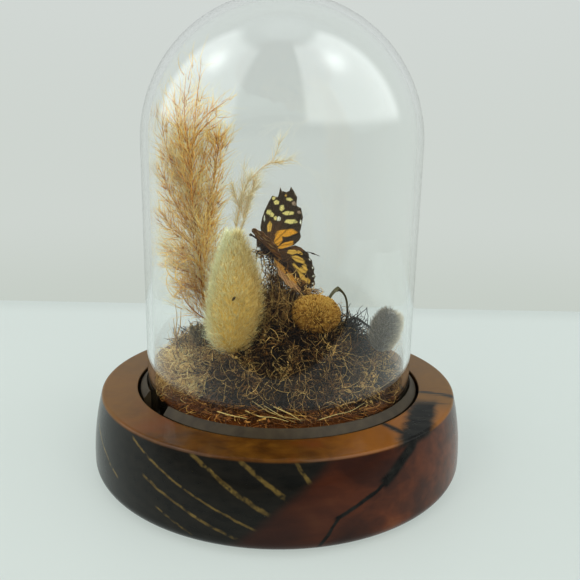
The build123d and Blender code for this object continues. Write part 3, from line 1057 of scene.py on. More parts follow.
# Main stem and branches of the tall reed, in mm
TALL_STEM = [(-20, 6, 36), (-27, 6, 48), (-30.4, 5, 58), (-31, 5, 70), (-32.6, 4, 81.6), (-34.4, 3, 95)]
TALL_BRANCHES = [
    [(-34.4, 3, 95), (-36.1, 1, 106), (-37.2, 0, 116.5), (-38, -2, 127), (-39, -3, 134.5)],
    [
        (-34.4, 3, 96.7), (-33.7, 2, 109.6), (-32.2, 1, 122),
        (-31.2, 0, 130.5), (-29.6, -2, 139.4), (-28.5, -4, 145.6),
    ],
    [(-32, 4, 79.7), (-27.3, 3, 95), (-25.2, 2, 106.1), (-23.7, 2, 115), (-23.6, 2, 119.4)],
    [(-31.8, 1, 122.6), (-27.1, 1, 127.6), (-22.8, 2, 130.9), (-19.2, 2, 133.3)],
    [(-32.2, 1, 119), (-27.6, 1, 124), (-24, 2, 127)],
    [(-34.1, 3, 96.7), (-30.7, 4, 107), (-28.9, 5, 115), (-26.4, 6, 121)],
    [(-35.3, 2, 100.4), (-39.4, 1, 109), (-42.3, 0, 115.4), (-43.6, 0, 121), (-43.3, -2, 127.7)],
    [(-33.3, 4, 83.5), (-38.1, 2, 92.3), (-42.2, 1, 100.3), (-44.8, 0, 109.3)],
    [(-32.3, 4, 77.8), (-37.5, 2, 83.3), (-41.9, 1, 87), (-44.8, 0, 92.3)],
    [(-31.2, 4, 71.6), (-36.2, 2, 75.7), (-40.6, 1, 77.2), (-44, 0, 78.8)],
    [(-30.9, 4, 66), (-35.3, 3, 69.3), (-39.7, 2, 70.6), (-43, 0, 73.5)],
    [(-30.4, 5, 60), (-33.7, 4, 62.8), (-36.6, 3, 64.6), (-39, 2, 63)],
    [(-33, 4, 84), (-32, 9, 95), (-31, 12, 107), (-31, 13, 118)],
    [(-33.5, 4, 88), (-33, -1, 98), (-33, -4, 110), (-34, -6, 121)],
    [(-36, 1, 106), (-38, 4, 116), (-38, 6, 126), (-36, 6, 134)],
    [(-33.5, 2, 110), (-35, -1, 122), (-34.6, -4, 132), (-33.6, -6, 140)],
    [(-32, 4, 76), (-29, 4, 84), (-26.6, 3, 92), (-25.6, 3, 99)],
    [(-33, 4, 90), (-37, 4, 99), (-40, 3, 106), (-41, 2, 113)],
    [(-29, 5, 52), (-27, 3, 60), (-25, 2, 68), (-24, 1, 77)],
    [(-30, 5, 57), (-28, 8, 66), (-26.4, 9, 76), (-25.4, 9, 86)],
    [(-30.6, 5, 62), (-29, 1, 71), (-28, -1, 80), (-28, -2, 89)],
    [(-30, 5, 54), (-34, 6, 62), (-37, 6, 70), (-38, 5, 79)],
    [(-29.5, 5, 50), (-33.6, 3, 54), (-37.4, 2, 59), (-39.4, 1, 66)],
]
SHORT_STEM = [
    (-12, 8, 36), (-15.6, 8, 62), (-17.7, 8, 81.4), (-16.9, 8, 91), (-15, 8, 98.7), (-12.7, 8, 105.2),
]
SHORT_BRANCHES = [
    [(-15.6, 8, 92), (-15.4, 8, 100), (-14.4, 8, 109.5)],
    [(-15.0, 8, 90), (-12.2, 8, 98), (-10.2, 8, 105)],
    [(-16.4, 8, 84), (-14.0, 8, 91), (-12.4, 8, 98)],
    [(-13.1, 8, 103.7), (-7.8, 8, 109), (-4.1, 8, 111.3), (-1.9, 8, 116.4), (-0.8, 8, 121.5)],
    [(-4.4, 8, 110.9), (-0.7, 8, 111.3), (3.5, 8, 112.5)],
    [(-15, 8, 96.8), (-11.6, 8, 99.9), (-9.3, 8, 102.2)],
    [(-16.1, 8, 93.8), (-18.4, 8, 98.3), (-19.2, 8, 102)],
]


def thinning(height):
    """How thickly the tall reed is covered at a height in metres; its top is only a few hairs."""
    return np.interp(height / MM, (104, 118, 130, 142), (1.0, 0.6, 0.25, 0.08))


def feather(branch, count, rng, hair, angle, thick, spread, steps):
    """Strands that leave a branch at a small angle all round it and bend upwards.

    They start up to spread millimetres off the branch.
    """
    places = rng.uniform(0.0, 1.0, count) * (len(branch) - 1)
    low = np.minimum(places.astype(int), len(branch) - 2)
    share = (places - low)[:, None]
    starts = branch[low] * (1 - share) + branch[low + 1] * share
    kept = rng.uniform(0, 1, count) < thinning(starts[:, 2])
    starts, low = starts[kept], low[kept]
    count = len(starts)
    along = unit(branch[low + 1] - branch[low])
    out = rng.normal(size=(count, 3))
    out = unit(out - along * np.sum(out * along, axis=1, keepdims=True))
    starts = starts + out * rng.uniform(0, spread, size=(count, 1)) ** 1.5 * MM
    heading = along + out * np.tan(np.radians(rng.uniform(*angle, count)))[:, None]
    lengths = rng.uniform(*hair, count) * MM
    paths = grow(starts, heading, lengths, steps, rng, curl=0.2, wander=0.11, pull=(0, 0, 0.05))
    return keep_in_glass(paths), taper(count, steps + 1, thick * MM, thick * 0.25 * MM, rng)


BRANCH_POINTS = 18


def make_plume(name, slot, nodes, lines, materials, layers, stem_radius, spread):
    """A plume: stem and branches, chaffy spikelets along them, and silky hairs.

    lines are the stem and its branches. Each of the two layers, spikelets and hairs, is (strands per
    10 mm, shortest and longest in mm, least and greatest angle, thickness, root tone, tip tone, steps).
    """
    rng = random_source(name)
    groups = [[], []]
    rods = []
    for index, line in enumerate(lines):
        path = keep_in_glass(curve_through(line, BRANCH_POINTS))
        thick = stem_radius if index == 0 else stem_radius * 0.4
        radii = taper(1, BRANCH_POINTS, thick * MM, thick * 0.15 * MM, rng, 0)
        rods.append(strand_arrays(path[None], radii, np.array([0.1]), rng, sides=6))
        # the lower half of the stem is bare
        branch = path[(BRANCH_POINTS - 1) // 2:] if index == 0 else path
        length = np.linalg.norm(np.diff(branch, axis=0), axis=1).sum() / (10 * MM)
        cover, shade = rng.uniform(0.55, 1.4), rng.uniform(-0.22, 0.2)
        for group, (density, hair, angle, width, root_tone, tip_tone, steps) in zip(groups, layers):
            count = int(density * length * cover)
            paths, radii = feather(branch, count, rng, hair, angle, width, spread, steps)
            root = rng.normal(root_tone + shade, 0.2, size=(len(paths), 1))
            tones = np.clip(root + (tip_tone - root) * np.linspace(0, 1, steps + 1)[None], 0, 1)
            group.append(strand_arrays(paths, radii, tones, rng))
    add_parts(name + "_chaff", rods + groups[0], materials[0], slot, *nodes)
    add_parts(name + "_silk", groups[1], materials[1], slot)


TALL_LAYERS = [
    (50, (4.0, 11.0), (8, 50), 0.12, 0.22, 0.75, 6),
    (58, (6.0, 14.0), (12, 66), 0.045, 0.6, 1.0, 5),
]
SHORT_LAYERS = [
    (36, (2.5, 6.5), (8, 42), 0.08, 0.22, 0.75, 6),
    (62, (3.5, 8.5), (10, 56), 0.038, 0.6, 1.0, 5),
]


def make_reeds():
    """The tall tan plume and the short pale one."""
    tan = fibre_material(
        "tan_plume",
        [
            (0.0, (0.44, 0.15, 0.01)),
            (0.3, (0.84, 0.42, 0.05)),
            (0.6, (0.97, 0.71, 0.20)),
            (1.0, (0.98, 0.89, 0.46)),
        ],
        roughness=0.6,
    )
    silk = fibre_material(
        "tan_silk",
        [(0.0, (0.88, 0.55, 0.12)), (0.5, (0.97, 0.79, 0.32)), (1.0, (0.98, 0.93, 0.60))],
        roughness=0.5,
    )
    pale = fibre_material(
        "pale_plume",
        [(0.0, (0.84, 0.58, 0.26)), (0.5, (0.96, 0.84, 0.54)), (1.0, (0.98, 0.94, 0.76))],
        roughness=0.6,
    )
    nodes = ("reed_plume_tall", "reed_stem_tall")
    lines = [TALL_STEM, *TALL_BRANCHES]
    make_plume("reed_tall", "tan_plume", nodes, lines, (tan, silk), TALL_LAYERS, 0.75, 2.2)
    nodes = ("reed_plume_short", "reed_stem_short")
    lines = [SHORT_STEM, *SHORT_BRANCHES]
    make_plume("reed_short", "pale_plume", nodes, lines, (pale, pale), SHORT_LAYERS, 0.40, 0.7)
    make_curls(silk)


# Long loose hairs that curl away at the foot of the tall plume, in mm
CURLS = [
    [(-33, 3, 66), (-38, 0, 66), (-42, -2, 69), (-43.6, -2, 74), (-41.4, -1, 77.6), (-38, 0, 77)],
    [(-33, 3, 61), (-37, 0, 59.6), (-41, -2, 61), (-43.4, -2, 65.6), (-42.8, -1, 70)],
    [(-32, 3, 63), (-36, -2, 64), (-39, -4, 68), (-38.4, -4, 73), (-35, -3, 75)],
]


def make_curls(silk):
    """The loose curling hairs at the foot of the tall plume."""
    rng = random_source("curls")
    parts = []
    for line in CURLS:
        path = keep_in_glass(curve_through(line, 24))[None]
        radii = taper(1, 24, 0.17 * MM, 0.09 * MM, rng)
        parts.append(strand_arrays(path, radii, np.array([0.1]), rng, sides=5))
    add_parts("reed_tall_curls", parts, silk, "tan_plume")


# The bunny tail's middle line, evenly spaced in height
BUNNY_AXIS = [
    (-16.6, -18, 42.9), (-16.7, -18, 51.9), (-15.7, -18, 60.9),
    (-15.4, -18, 69.9), (-15.7, -18, 78.9), (-16, -18, 88),
]
# Radius in mm where the hairs are rooted, against the share of the height
BUNNY_ROOTS = [
    (0, 1.2), (0.06, 4.6), (0.14, 7.0), (0.21, 7.7), (0.37, 8.4),
    (0.52, 8.0), (0.68, 6.8), (0.83, 4.3), (0.93, 2.0), (1, 0.3),
]
AXIS_POINTS = 80
BUNNY_ROWS = 40
BUNNY_SIDES = 48
# Layers of hair: name, count, lengths in mm, share of outward lean, thickness in mm
BUNNY_HAIRS = [
    ("bunny_tail_hairs", 7500, (1.8, 4.2), (0.2, 1.1), 0.08),
    ("bunny_tail_down", 7500, (2.4, 5.6), (0.6, 2.4), 0.045),
]


def bunny_radius(t):
    """Radius in mm at which the bunny tail's hairs are rooted, at a share t of its height."""
    shares, radii = zip(*BUNNY_ROOTS)
    return np.interp(t, shares, radii)


def make_bunny_tail():
    """A soft oval head: a core, hairs that sweep up and out from it, fine down, and one dark seed."""
    cream = fibre_material(
        "cream_hair",
        [
            (0.0, (0.44, 0.23, 0.035)),
            (0.35, (0.68, 0.47, 0.13)),
            (0.7, (0.80, 0.69, 0.33)),
            (1.0, (0.88, 0.88, 0.62)),
        ],
        roughness=0.65,
        sheen=0.2,
    )
    axis = curve_through(BUNNY_AXIS, AXIS_POINTS)
    angles = even_angles(BUNNY_SIDES)
    shares = np.linspace(0.02, 0.98, BUNNY_ROWS)
    ring = np.stack([np.cos(angles), np.sin(angles), 0 * angles], axis=1)
    levels = axis[np.round(shares * (AXIS_POINTS - 1)).astype(int)]
    verts = levels[:, None, :] + ring[None] * (bunny_radius(shares) * MM)[:, None, None]
    faces = end_faces(BUNNY_ROWS, BUNNY_SIDES) + ring_faces(BUNNY_ROWS, BUNNY_SIDES)
    core = (verts.reshape(-1, 3), faces, np.full(BUNNY_ROWS * BUNNY_SIDES, 0.3))
    add_parts("bunny_tail_core", [core], cream, "cream_hair", "bunny_tail_head")
    for layer in BUNNY_HAIRS:
        bunny_hairs(axis, cream, *layer)
    rng = random_source("bunny_stalk")
    reed = fibre_material("reed", [(0.0, (0.20, 0.12, 0.05)), (1.0, (0.50, 0.36, 0.16))])
    stem = [(-13, -8, 36), (-14.6, -13, 39), (-16.7, -18, 43.5)]
    add_stalk("bunny_tail_stalk", stem, 12, (0.7, 0.6), 0.5, rng, 8, reed, "reed", "bunny_tail_stem")
    husk = fibre_material("seed_husk", [(0.0, (0.02, 0.014, 0.006)), (1.0, (0.10, 0.07, 0.03))])
    line = curve_through([(-15.2, -28.0, 65.8), (-14.7, -28.3, 66.6), (-14.2, -28.2, 67.2)], 6)[None]
    swell = np.array([[0.08, 0.3, 0.4, 0.42, 0.3, 0.08]]) * MM
    seed = strand_arrays(line, swell, np.array([0.2]), rng, sides=8)
    add_parts("bunny_tail_seed", [seed], husk, "cream_hair")


def bunny_hairs(axis, material, name, count, length, lean, thick):
    """One layer of the bunny tail's hairs, rooted in its core."""
    rng = random_source(name)
    steps = 4
    t = 0.95 * rng.uniform(0, 1, count) ** 1.12
    angle = rng.uniform(0, 2 * math.pi, count)
    out = np.stack([np.cos(angle), np.sin(angle), 0 * angle], axis=1)
    place = axis[np.round(t * (AXIS_POINTS - 1)).astype(int)]
    starts = place + out * (bunny_radius(t) * 0.95 * MM)[:, None]
    outward = rng.uniform(*lean, size=(count, 1)) * (1 - 0.85 * t[:, None])
    heading = out * outward + np.array([0, 0, 1]) + rng.normal(size=(count, 3)) * 0.28
    sizes = rng.uniform(*length, count) * rng.uniform(0.7, 1.15, count) * MM
    paths = grow(starts, heading, sizes, steps, rng, curl=0.16, wander=0.08, pull=(0, 0, 0.05))
    radii = taper(count, steps + 1, thick * MM, 0.015 * MM, rng)
    # painted light: the hairs are paler on the left, where the light comes from, and brighter towards the top
    # and bottom
    light = 0.52 - 0.3 * out[:, :1] + 0.25 * np.abs(t[:, None] - 0.4)
    light = light + rng.normal(0, 0.18, size=(count, 1))
    tones = np.clip(light + 0.28 * np.linspace(0, 1, steps + 1)[None], 0, 1)
    add_parts(name, [strand_arrays(keep_in_glass(paths), radii, tones, rng)], material, "cream_hair")


def add_stalk(name, line, points, radii, tone, rng, sides, material, slot, node):
    """One tapered stalk along a line, in place of a CAD node. line and radii are in mm."""
    thick, thin = radii
    path = curve_through(line, points)[None]
    widths = taper(1, points, thick * MM, thin * MM, rng, 0)
    stalk = strand_arrays(path, widths, np.array([tone]), rng, sides)
    add_parts(name, [stalk], material, slot, node)


# ---------------------------------------------------------------- flower, catkin, bud, leaf, twigs

BUTTON_CENTRE_MM = (13.3, -11.5, 57.3)
BUTTON_RADIUS_MM = 8.7
BUTTON_RISE_MM = 6.3


BUTTON_FLORETS = 1500
BUTTON_ROWS = 24
BUTTON_SIDES = 48


def make_button_flower():
    """A dome of tightly packed tiny florets on a shallow cup."""
    rng = random_source("button_flower")
    gold = fibre_material(
        "golden_floret",
        [
            (0.0, (0.07, 0.025, 0.005)),
            (0.35, (0.22, 0.10, 0.018)),
            (0.7, (0.42, 0.23, 0.045)),
            (1.0, (0.56, 0.36, 0.09)),
        ],
        roughness=0.75,
        mottle=0.35,
        scale=1600,
    )
    count = BUTTON_FLORETS
    index = np.arange(count) + 0.5
    drop = 1 - 1.42 * index / count
    ring = np.sqrt(np.clip(1 - drop**2, 0, 1))
    golden_angle = math.pi * (3 - math.sqrt(5))
    angle = golden_angle * index
    normal = np.stack([ring * np.cos(angle), ring * np.sin(angle), drop], axis=1)
    scale = np.array([BUTTON_RADIUS_MM, BUTTON_RADIUS_MM, BUTTON_RISE_MM])
    lump = 1 + 0.03 * np.sin(3 * angle) * ring
    tilt = Matrix.Rotation(math.radians(16), 3, "X") @ Matrix.Rotation(math.radians(5), 3, "Y")
    tilt = np.array(tilt)
    centre = np.array(BUTTON_CENTRE_MM)
    outward = unit(normal / scale) @ tilt.T
    starts = (centre + (normal * scale * lump[:, None] * 0.93) @ tilt.T) * MM
    lengths = rng.uniform(0.7, 1.25, count)
    along = np.array([0.0, 0.55, 0.85, 1.0])
    paths = starts[:, None, :] + outward[:, None, :] * (along[None, :, None] * lengths[:, None, None]) * MM
    paths[:, 1:, :] += rng.normal(size=(count, 1, 3)) * 0.07 * MM
    radii = np.array([0.26, 0.30, 0.24, 0.10])[None, :] * rng.uniform(0.8, 1.2, size=(count, 1)) * MM
    tones = np.clip(0.56 + 0.34 * drop + rng.normal(0, 0.18, count), 0, 1)
    florets = strand_arrays(paths, radii, tones, rng, sides=5)
    rows = [(math.cos(a) * 0.94, math.sin(a) * 0.94) for a in np.linspace(-0.55, 1.54, BUTTON_ROWS)]
    core, faces = lathe([(0.02, -0.5), *rows], BUTTON_SIDES, closed=False)
    core = (centre + (core * scale) @ tilt.T) * MM
    faces += end_faces(BUTTON_ROWS + 1, BUTTON_SIDES)
    parts = [florets, (core, faces, np.full(len(core), 0.12))]
    add_parts("button_flower_florets", parts, gold, "golden_floret", "button_flower_head")
    reed = fibre_material("button_reed", [(0.0, (0.12, 0.07, 0.03)), (1.0, (0.36, 0.25, 0.12))])
    stem = [(11, -2, 36), (11.8, -6, 45), (13.2, -9.6, 52.5)]
    add_stalk("button_flower_stalk", stem, 12, (0.8, 0.7), 0.4, rng, 8, reed, "reed", "button_flower_stem")


CATKIN_AXIS = [(36.4, -10.6, 44.2), (38.0, -11.4, 48.5), (39.6, -12.0, 53.5), (40.9, -12.2, 58.8)]
CATKIN_RADIUS_MM = 5.3


CATKIN_ROWS = 24
CATKIN_SIDES = 32


def catkin_points(axis, t, angle, share):
    """Points at a share t along the axis and a share of the full radius, and the way out there."""
    run = axis[-1] - axis[0]
    across = unit(np.cross(unit(run), [0, 1, 0]))
    other = np.cross(unit(run), across)
    radius = CATKIN_RADIUS_MM * np.sqrt(np.clip(1 - (2 * t - 1) ** 2, 0, 1)) ** 0.85
    out = np.cos(angle)[..., None] * across + np.sin(angle)[..., None] * other
    return axis[0] + t[..., None] * run + out * (radius * share * MM)[..., None], out


def make_catkin():
    """A plump grey furry oval, leaning outwards on a dark stalk."""
    rng = random_source("catkin")
    grey = fibre_material(
        "grey_catkin",
        [
            (0.0, (0.03, 0.024, 0.018)),
            (0.45, (0.16, 0.135, 0.10)),
            (0.8, (0.46, 0.40, 0.29)),
            (1.0, (0.78, 0.70, 0.54)),
        ],
        roughness=0.85,
        sheen=0.4,
    )
    axis = curve_through(CATKIN_AXIS, 30)
    grid = np.ones((CATKIN_ROWS, CATKIN_SIDES))
    t = np.linspace(0.02, 0.98, CATKIN_ROWS)[:, None] * grid
    verts, _ = catkin_points(axis, t, grid * even_angles(CATKIN_SIDES), 0.86)
    faces = end_faces(CATKIN_ROWS, CATKIN_SIDES) + ring_faces(CATKIN_ROWS, CATKIN_SIDES)
    core = (verts.reshape(-1, 3), faces, np.full(CATKIN_ROWS * CATKIN_SIDES, 0.25))
    count = 5200
    t = rng.uniform(0.01, 0.97, count)
    starts, out = catkin_points(axis, t, rng.uniform(0, 2 * math.pi, count), 0.82)
    heading = unit(axis[-1] - axis[0]) * 0.8 + out * rng.uniform(0.5, 1.1, size=(count, 1))
    paths = grow(starts, heading, rng.uniform(1.2, 2.8, count) * MM, 3, rng, curl=0.2, wander=0.14)
    # painted highlight: the fur is paler on its right side, where the light falls, and darker on the left
    light = np.clip(0.42 + 0.75 * np.maximum(out[:, 0], 0) ** 1.2 + rng.normal(0, 0.16, count), 0, 1)
    fur = strand_arrays(keep_in_glass(paths), taper(count, 4, 0.10 * MM, 0.03 * MM, rng), light, rng)
    add_parts("catkin_fur", [core, fur], grey, "grey_catkin", "catkin_head")


TWIG_ROOTS_MM = [(23, -3, 47), (25, -6, 48), (27, 0, 44), (26, 3, 42), (29, 4, 40)]


CATKIN_STALK = [(24, -4, 36), (25, -7, 50), (27.5, -8.5, 55.5), (32, -10, 53.5), (36.8, -11.2, 50.5)]


def make_twigs():
    """Dark wiry tangle behind the catkin, and the catkin's stalk."""
    rng = random_source("twigs")
    dark = fibre_material(
        "dark_twig",
        [(0.0, (0.008, 0.007, 0.006)), (0.6, (0.035, 0.028, 0.02)), (1.0, (0.14, 0.10, 0.06))],
        roughness=0.6,
        gloss=0.4,
    )
    add_stalk("catkin_stalk", CATKIN_STALK, 18, (0.5, 0.4), 0.2, rng, 7, dark, "dark_twig", "catkin_stem")
    parts = []
    for root in TWIG_ROOTS_MM:
        count = 40
        starts = np.repeat(np.array([root], float), count, axis=0) + rng.normal(size=(count, 3)) * 1.4
        heading = np.array([0.75, -0.25, 0.95]) + rng.normal(size=(count, 3)) * 0.5
        paths = grow(starts * MM, heading, rng.uniform(7, 17, count) * MM, 9, rng, curl=0.45, wander=0.22)
        radii = taper(count, 10, 0.2 * MM, 0.10 * MM, rng)
        parts.append(strand_arrays(keep_in_glass(paths), radii, rng.uniform(0, 0.8, count), rng, sides=4))
    add_parts("wiry_tangle", parts, dark, "dark_twig", "wiry_twigs")


LEAF_ARCH = [
    (17.6, 0, 50), (18.2, 0, 57.5), (19.0, -0.4, 61.5), (21.6, -0.8, 64.6),
    (24.2, -0.6, 63.0), (25.6, 0, 59.5), (26.0, 0.6, 54.5),
]
# The arch's two blades: shift, half width in mm, tone
LEAF_BLADES = [(0.0, 1.15, 0.45), (0.9, 0.75, 0.9)]


def make_leaf_arch():
    """The curled leaf: two flat blades, one behind the other."""
    leaf = fibre_material(
        "dry_leaf",
        [(0.0, (0.03, 0.028, 0.012)), (0.5, (0.12, 0.11, 0.05)), (1.0, (0.36, 0.34, 0.20))],
        roughness=0.45,
        gloss=0.5,
    )
    count = 28
    swell = 0.45 + 0.55 * np.sin(np.linspace(0.1, math.pi - 0.1, count)) ** 0.6
    blades = []
    for shift, width, tone in LEAF_BLADES:
        line = curve_through([(x, y + shift, z - shift * 0.5) for x, y, z in LEAF_ARCH], count)[None]
        rng = random_source("arch")
        radii = swell[None] * width * MM
        blades.append(strand_arrays(line, radii, np.array([tone]), rng, sides=8, flatness=0.22))
    add_parts("leaf_arch", blades, leaf, "dry_leaf", "curled_leaf")


BUD_FOOT_MM = np.array([-29.0, -12.5, 45.0])
BUD_TIP_MM = np.array([-30.0, -13.5, 52.5])


def make_bud(rng):
    """The brown bud: overlapping flat scales round a short line."""
    brown = fibre_material(
        "brown_bud",
        [(0.0, (0.05, 0.035, 0.015)), (0.5, (0.16, 0.11, 0.045)), (1.0, (0.38, 0.29, 0.14))],
        roughness=0.7,
    )
    count = 260
    t = rng.uniform(0, 0.9, count)
    angle = rng.uniform(0, 2 * math.pi, count)
    radius = 2.3 * np.sqrt(np.clip(1 - (2 * t - 0.9) ** 2, 0.05, 1))
    out = np.stack([np.cos(angle), np.sin(angle), np.zeros(count)], axis=1)
    starts = BUD_FOOT_MM + t[:, None] * (BUD_TIP_MM - BUD_FOOT_MM) + out * radius[:, None] * 0.7
    heading = out * 0.7 + np.array([0, 0, 1])
    paths = grow(starts * MM, heading, rng.uniform(1.6, 2.8, count) * MM, 4, rng, curl=0.1, wander=0.05)
    radii = np.array([0.3, 0.42, 0.4, 0.28, 0.08])[None] * np.ones((count, 1)) * MM
    scales = strand_arrays(paths, radii, rng.uniform(0, 1, count), rng, sides=4, flatness=0.4)
    add_parts("bud_scales", [scales], brown, "brown_bud", "brown_bud")


SPRIG_LINES = [
    [(-38.5, -8, 40), (-39, -8, 47), (-39.4, -8, 54)],
    [(-38.9, -8, 46), (-37, -8, 51), (-36.5, -8, 58)],
    [(-38.8, -8, 45), (-34.5, -8, 49), (-32.0, -8, 53)],
    [(-38.9, -8, 48), (-38.0, -8.5, 54), (-38.4, -9, 60)],
]
STRAW_LINES = [
    [(-8, -35, 33.5), (-3, -39.2, 32.0), (1, -41.5, 31.4), (6, -44.4, 30.6)],
    [(-4, -37, 32.8), (1, -41.2, 31.6), (4, -42.4, 31.2), (9, -43.5, 31)],
    [(-10, -39, 31.8), (-5, -42.8, 31.6), (-1, -43.6, 31.8), (4, -44.8, 31.0)],
    [(13, -43.2, 30.8), (19, -40.6, 31.8), (24, -36.8, 31.4), (29, -33.0, 32.8)],
    [(-1, -38, 33), (5, -41.6, 31.8), (8, -44.2, 30.9)],
    [(-19, -39, 31.4), (-14, -42.8, 31.8), (-9, -43.6, 31.2)],
]


def make_sprig(rng):
    """The forked sprig of grass at the left, in the frame's own reed material."""
    lines = np.stack([curve_through(line, 10) for line in SPRIG_LINES])
    radii = taper(len(lines), 10, 0.28 * MM, 0.07 * MM, rng)
    stalks = strand_arrays(lines, radii, rng.uniform(0.2, 0.9, len(lines)), rng, sides=4)
    add_parts("forked_sprig", [stalks], bpy.data.materials["reed"], "reed", "grass_sprig")


def make_straws(rng):
    """The loose straws at the front."""
    straw = fibre_material(
        "straw",
        [(0.0, (0.34, 0.24, 0.08)), (0.5, (0.60, 0.48, 0.20)), (1.0, (0.82, 0.74, 0.42))],
        roughness=0.45,
        gloss=0.5,
    )
    lines = keep_in_glass(np.stack([curve_through(line, 12) for line in STRAW_LINES]))
    radii = taper(len(lines), 12, 0.16 * MM, 0.07 * MM, rng)
    blades = strand_arrays(lines, radii, rng.uniform(0.0, 0.8, len(lines)), rng, sides=6, flatness=0.5)
    add_parts("straw_blades", [blades], straw, "straw", "loose_straws")


def make_small_bits():
    """The curled leaf, brown bud, forked sprig and loose straws."""
    rng = random_source("small_bits")
    make_leaf_arch()
    make_bud(rng)
    make_sprig(rng)
    make_straws(rng)


# ---------------------------------------------------------------- butterfly

HEAD_TIP_MM = np.array([-9.0, -1.0, 83.4])
TAIL_TIP_MM = np.array([7.0, -1.0, 68.5])
TAILWARDS = unit(TAIL_TIP_MM - HEAD_TIP_MM)
BODY_LENGTH_MM = float(np.linalg.norm(TAIL_TIP_MM - HEAD_TIP_MM))
RIGHT_WING_SIDE = unit(np.array([0.64, 0.342, 0.687]))
LEFT_WING_SIDE = unit(np.array([0.1, -0.985, 0.14]))
LEFT_HINDWING_SIDE = unit(np.array([-0.05, -0.9, -0.42]))
BODY_RADIUS_MM = 1.7
FOREWING_OFFSET_MM = 4.5
HINDWING_OFFSET_MM = 7.5

# Wing margins from the leading root round to the trailing root: (towards the tail, out from the body), mm
FOREWING_MARGIN = [
    (0.0, -0.4), (-3.2, 0.6), (-6.4, 3.0), (-8.2, 5.8), (-9.4, 8.6), (-10.5, 12.0), (-11.2, 14.8),
    (-9.3, 15.9), (-9.9, 17.2), (-11.2, 19.4), (-9.8, 18.6), (-8.3, 19.6), (-7.7, 20.7), (-8.4, 22.4),
    (-6.4, 21.9), (-4.0, 21.1), (-1.9, 18.6), (-0.1, 19.1), (2.7, 17.3), (4.6, 14.3), (5.8, 12.2),
    (7.3, 11.2), (7.7, 9.6), (7.4, 6.8), (5.8, 4.1), (4.7, 1.8), (3.0, 0.0),
]
# The near forewing is seen edge on, and its rim looks smooth and round
NEAR_FOREWING_MARGIN = [
    (0.0, -0.4), (-3.2, 0.8), (-5.6, 3.2), (-7.4, 6.4), (-8.2, 9.8), (-8.0, 13.0), (-6.8, 15.8), (-4.6, 17.8),
    (-2.0, 18.6), (0.8, 17.8), (3.2, 15.8), (5.0, 13.0), (6.4, 10.4), (7.2, 7.6), (6.6, 4.8), (5.0, 2.0),
    (3.0, 0.0),
]
HINDWING_MARGIN = [
    (1.6, 2.0), (3.0, 4.4), (4.8, 7.2), (7.1, 8.3), (9.4, 8.4), (10.6, 8.7), (11.7, 7.8), (13.4, 7.6),
    (14.7, 6.6), (16.2, 6.0), (17.0, 4.8), (18.6, 4.0), (19.1, 2.7), (20.6, 1.6), (20.2, -0.4), (17.4, -1.2),
    (14.4, -1.3), (10.0, -1.2), (5.0, -1.0), (2.0, -0.6),
]
INK = (0.045, 0.028, 0.014)
BROWN = (0.115, 0.055, 0.022)
ORANGE = (0.66, 0.33, 0.035)
PALE_ORANGE = (0.66, 0.42, 0.09)
YELLOW = (0.68, 0.60, 0.24)
WHITE = (0.74, 0.73, 0.62)
MAUVE = (0.33, 0.24, 0.17)
# Markings: (colour, centre, half sizes, turn in degrees), same axes as the margins
FOREWING_MARKS = [
    (YELLOW, (-10.1, 14.5), (0.7, 0.6), 80),
    (YELLOW, (-8.3, 14.1), (1.0, 0.85), 40),
    (YELLOW, (-5.4, 14.0), (0.95, 1.15), 30),
    (YELLOW, (-5.6, 18.4), (1.25, 0.6), 36),
    (PALE_ORANGE, (-7.5, 18.5), (0.4, 0.4), 0),
    (MAUVE, (-3.2, 18.5), (0.85, 0.8), 0),
    (YELLOW, (-7.8, 9.4), (1.05, 0.9), 44),
    (YELLOW, (-6.4, 9.4), (0.85, 0.85), 0),
    (YELLOW, (-4.5, 9.5), (0.75, 0.75), 0),
    (WHITE, (-3.5, 10.2), (0.8, 0.85), 20),
    (WHITE, (-7.5, 6.4), (0.3, 1.2), 44),
    (YELLOW, (-2.3, 14.3), (2.2, 0.75), 46),
    (YELLOW, (0.6, 12.7), (2.5, 0.85), 44),
    (PALE_ORANGE, (-4.0, 5.5), (0.85, 2.0), 34),
    (ORANGE, (2.1, 8.2), (4.1, 1.35), 50),
    (ORANGE, (1.6, 4.4), (1.5, 2.4), 30),
    (ORANGE, (5.2, 4.8), (3.2, 1.05), 65),
    (INK, (3.9, 5.3), (2.2, 0.3), 73),
    (INK, (6.0, 9.2), (2.3, 0.42), 53),
    (WHITE, (3.4, 15.2), (0.35, 0.8), 44),
    (MAUVE, (0.4, 17.4), (0.7, 0.55), 30),
]
HINDWING_MARKS = [
    (BROWN, (6.4, 6.8), (2.6, 0.9), 30),
    (PALE_ORANGE, (5.7, 4.5), (1.9, 0.95), 44),
    (PALE_ORANGE, (8.0, 6.4), (1.3, 0.65), 20),
    (PALE_ORANGE, (9.4, 4.2), (2.7, 1.15), 20),
    (PALE_ORANGE, (13.3, 3.0), (1.5, 1.8), 0),
    (PALE_ORANGE, (11.5, 1.2), (2.8, 0.8), -8),
    (PALE_ORANGE, (15.4, 0.2), (2.2, 1.0), -12),
    (PALE_ORANGE, (17.4, 0.6), (1.2, 1.1), 0),
    (INK, (10.6, 2.7), (2.4, 0.3), 10),
    (INK, (11.0, 6.0), (0.7, 0.6), 0),
    (INK, (14.2, 4.6), (0.7, 0.6), 0),
    (WHITE, (12.6, 7.2), (0.5, 0.25), -20),
    (WHITE, (15.6, 5.6), (0.5, 0.25), -35),
    (WHITE, (17.9, 3.6), (0.3, 0.55), -30),
    (WHITE, (19.6, 1.4), (0.3, 0.5), -20),
]
